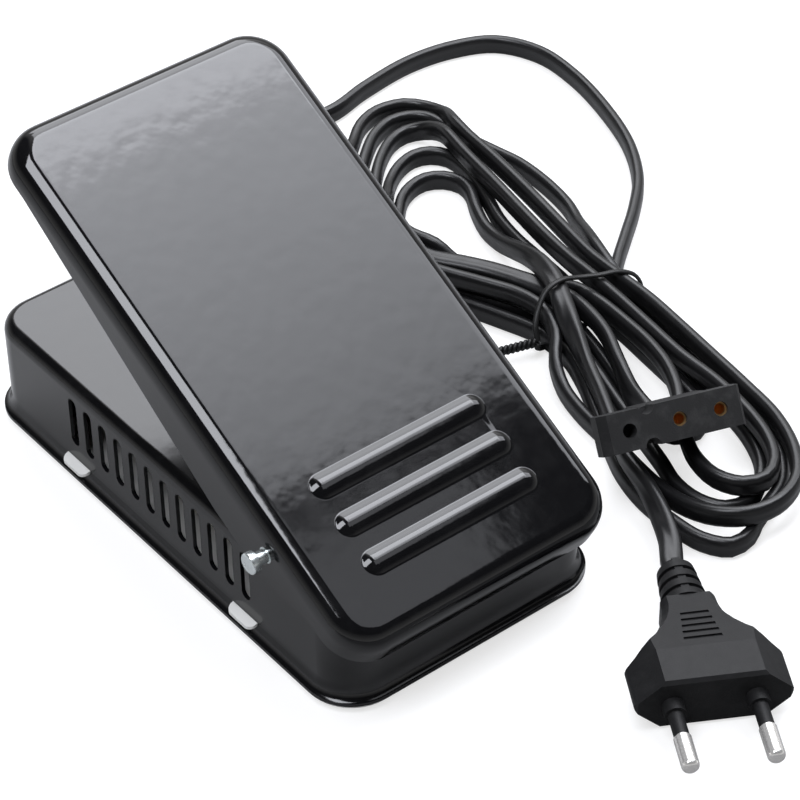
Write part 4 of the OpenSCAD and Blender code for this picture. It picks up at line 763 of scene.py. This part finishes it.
def world_light():
    world = bpy.data.worlds.new("studio")
    world.use_nodes = True
    tree = world.node_tree
    tree.nodes.clear()
    path = add_node(tree, "ShaderNodeLightPath").outputs
    aim = split(tree, add_node(tree, "ShaderNodeTexCoord").outputs["Generated"])
    fall = ramp(tree, aim["Z"], start=0.05, end=0.5, at_start=HORIZON, at_end=OVERHEAD)
    behind = ramp(tree, aim["Y"], start=0.05, end=0.45, at_end=BACK_LIGHT)
    right = ramp(tree, aim["X"], start=0.05, end=0.3)
    above = ramp(tree, aim["Z"], start=0.3, end=0.5)
    back = times(tree, times(tree, behind, right), above)
    mirrored = math_node(tree, "ADD", fall, back)
    soft = add_node(tree, "ShaderNodeBackground", {"Color": WHITE, "Strength": SOFT_LIGHT})
    mirror = add_node(tree, "ShaderNodeBackground", {"Color": WHITE, "Strength": mirrored})
    white = add_node(tree, "ShaderNodeBackground", {"Color": WHITE, "Strength": 1.0})
    glossy = add_node(tree, "ShaderNodeMixShader", {0: path["Is Glossy Ray"], 1: soft.outputs[0],
                                                    2: mirror.outputs[0]})
    mix = add_node(tree, "ShaderNodeMixShader", {0: seen_by_camera(tree, path), 1: glossy.outputs[0],
                                                 2: white.outputs[0]})
    add_node(tree, "ShaderNodeOutputWorld", {"Surface": mix.outputs[0]})
    return world


scene.world = world_light()
print("world:", scene.world.name)

# %% [markdown]
# ## Lamps
# One large lamp could light it all, but each edge mirrors its own piece of ceiling, so each gets a panel.
# From the camera, the tread mirrors a strip 1.5 m up: its back end sees a bright panel, its middle sees
# strips that grow dimmer towards the front, then comes a dark gap, and the nose sees a faint panel. A
# side panel draws the right rolled edge, two panels further back light the ribs and the top of the
# casing, and a lamp over the left side draws the bright line along the left rolled edge. A panel's power
# is its brightness times pi times its area.

# %% Lamps
CEILING = 1.5
LAMP_TINT = (0.92, 0.94, 1.0)


def panel(name, place, size, brightness, turn=(0.0, 0.0, 0.0)):
    lamp = bpy.data.lights.new(name, "AREA")
    lamp.shape = "RECTANGLE"
    lamp.size, lamp.size_y = size
    lamp.energy = brightness*pi*size[0]*size[1]
    lamp.color = LAMP_TINT
    obj = bpy.data.objects.new(name, lamp)
    obj.location = place
    obj.rotation_euler = turn
    scene.collection.objects.link(obj)


MIDDLE_X, MIDDLE_W = 0.75, 0.8
STRIPS, STRIP_L, STRIP_FROM = 7, 0.04, -0.06
STRIP_BRIGHTEST, STRIP_FADE = 6.9, 3.2
panel("back_panel", (MIDDLE_X, 0.23, CEILING), size=(MIDDLE_W, 0.54), brightness=10.8)
for k in range(STRIPS):
    panel("strip_%d" % k, (MIDDLE_X, STRIP_FROM - k*STRIP_L, CEILING), size=(MIDDLE_W, STRIP_L),
          brightness=STRIP_BRIGHTEST - STRIP_FADE*k/(STRIPS - 1))
panel("side_panel", (1.9, 0.09, CEILING), size=(1.5, 0.82), brightness=4.5)
panel("front_panel", (0.51, -0.63, CEILING), size=(0.63, 0.556), brightness=1.35)
panel("rear_panel", (0.85, 0.9, CEILING), size=(1.0, 0.8), brightness=4.6)
panel("far_panel", (1.05, 1.9, CEILING), size=(1.1, 1.2), brightness=3.8)
panel("edge_lamp", (-0.47, -0.04, 1.38), size=(0.95, 0.56), brightness=10.6,
      turn=(0.0, radians(-18.0), 0.0))
scene.view_settings.view_transform = "Standard"

# %% [markdown]
# ## The end
# The scene is brought up to date once more.

# %% The end
bpy.context.view_layer.update()
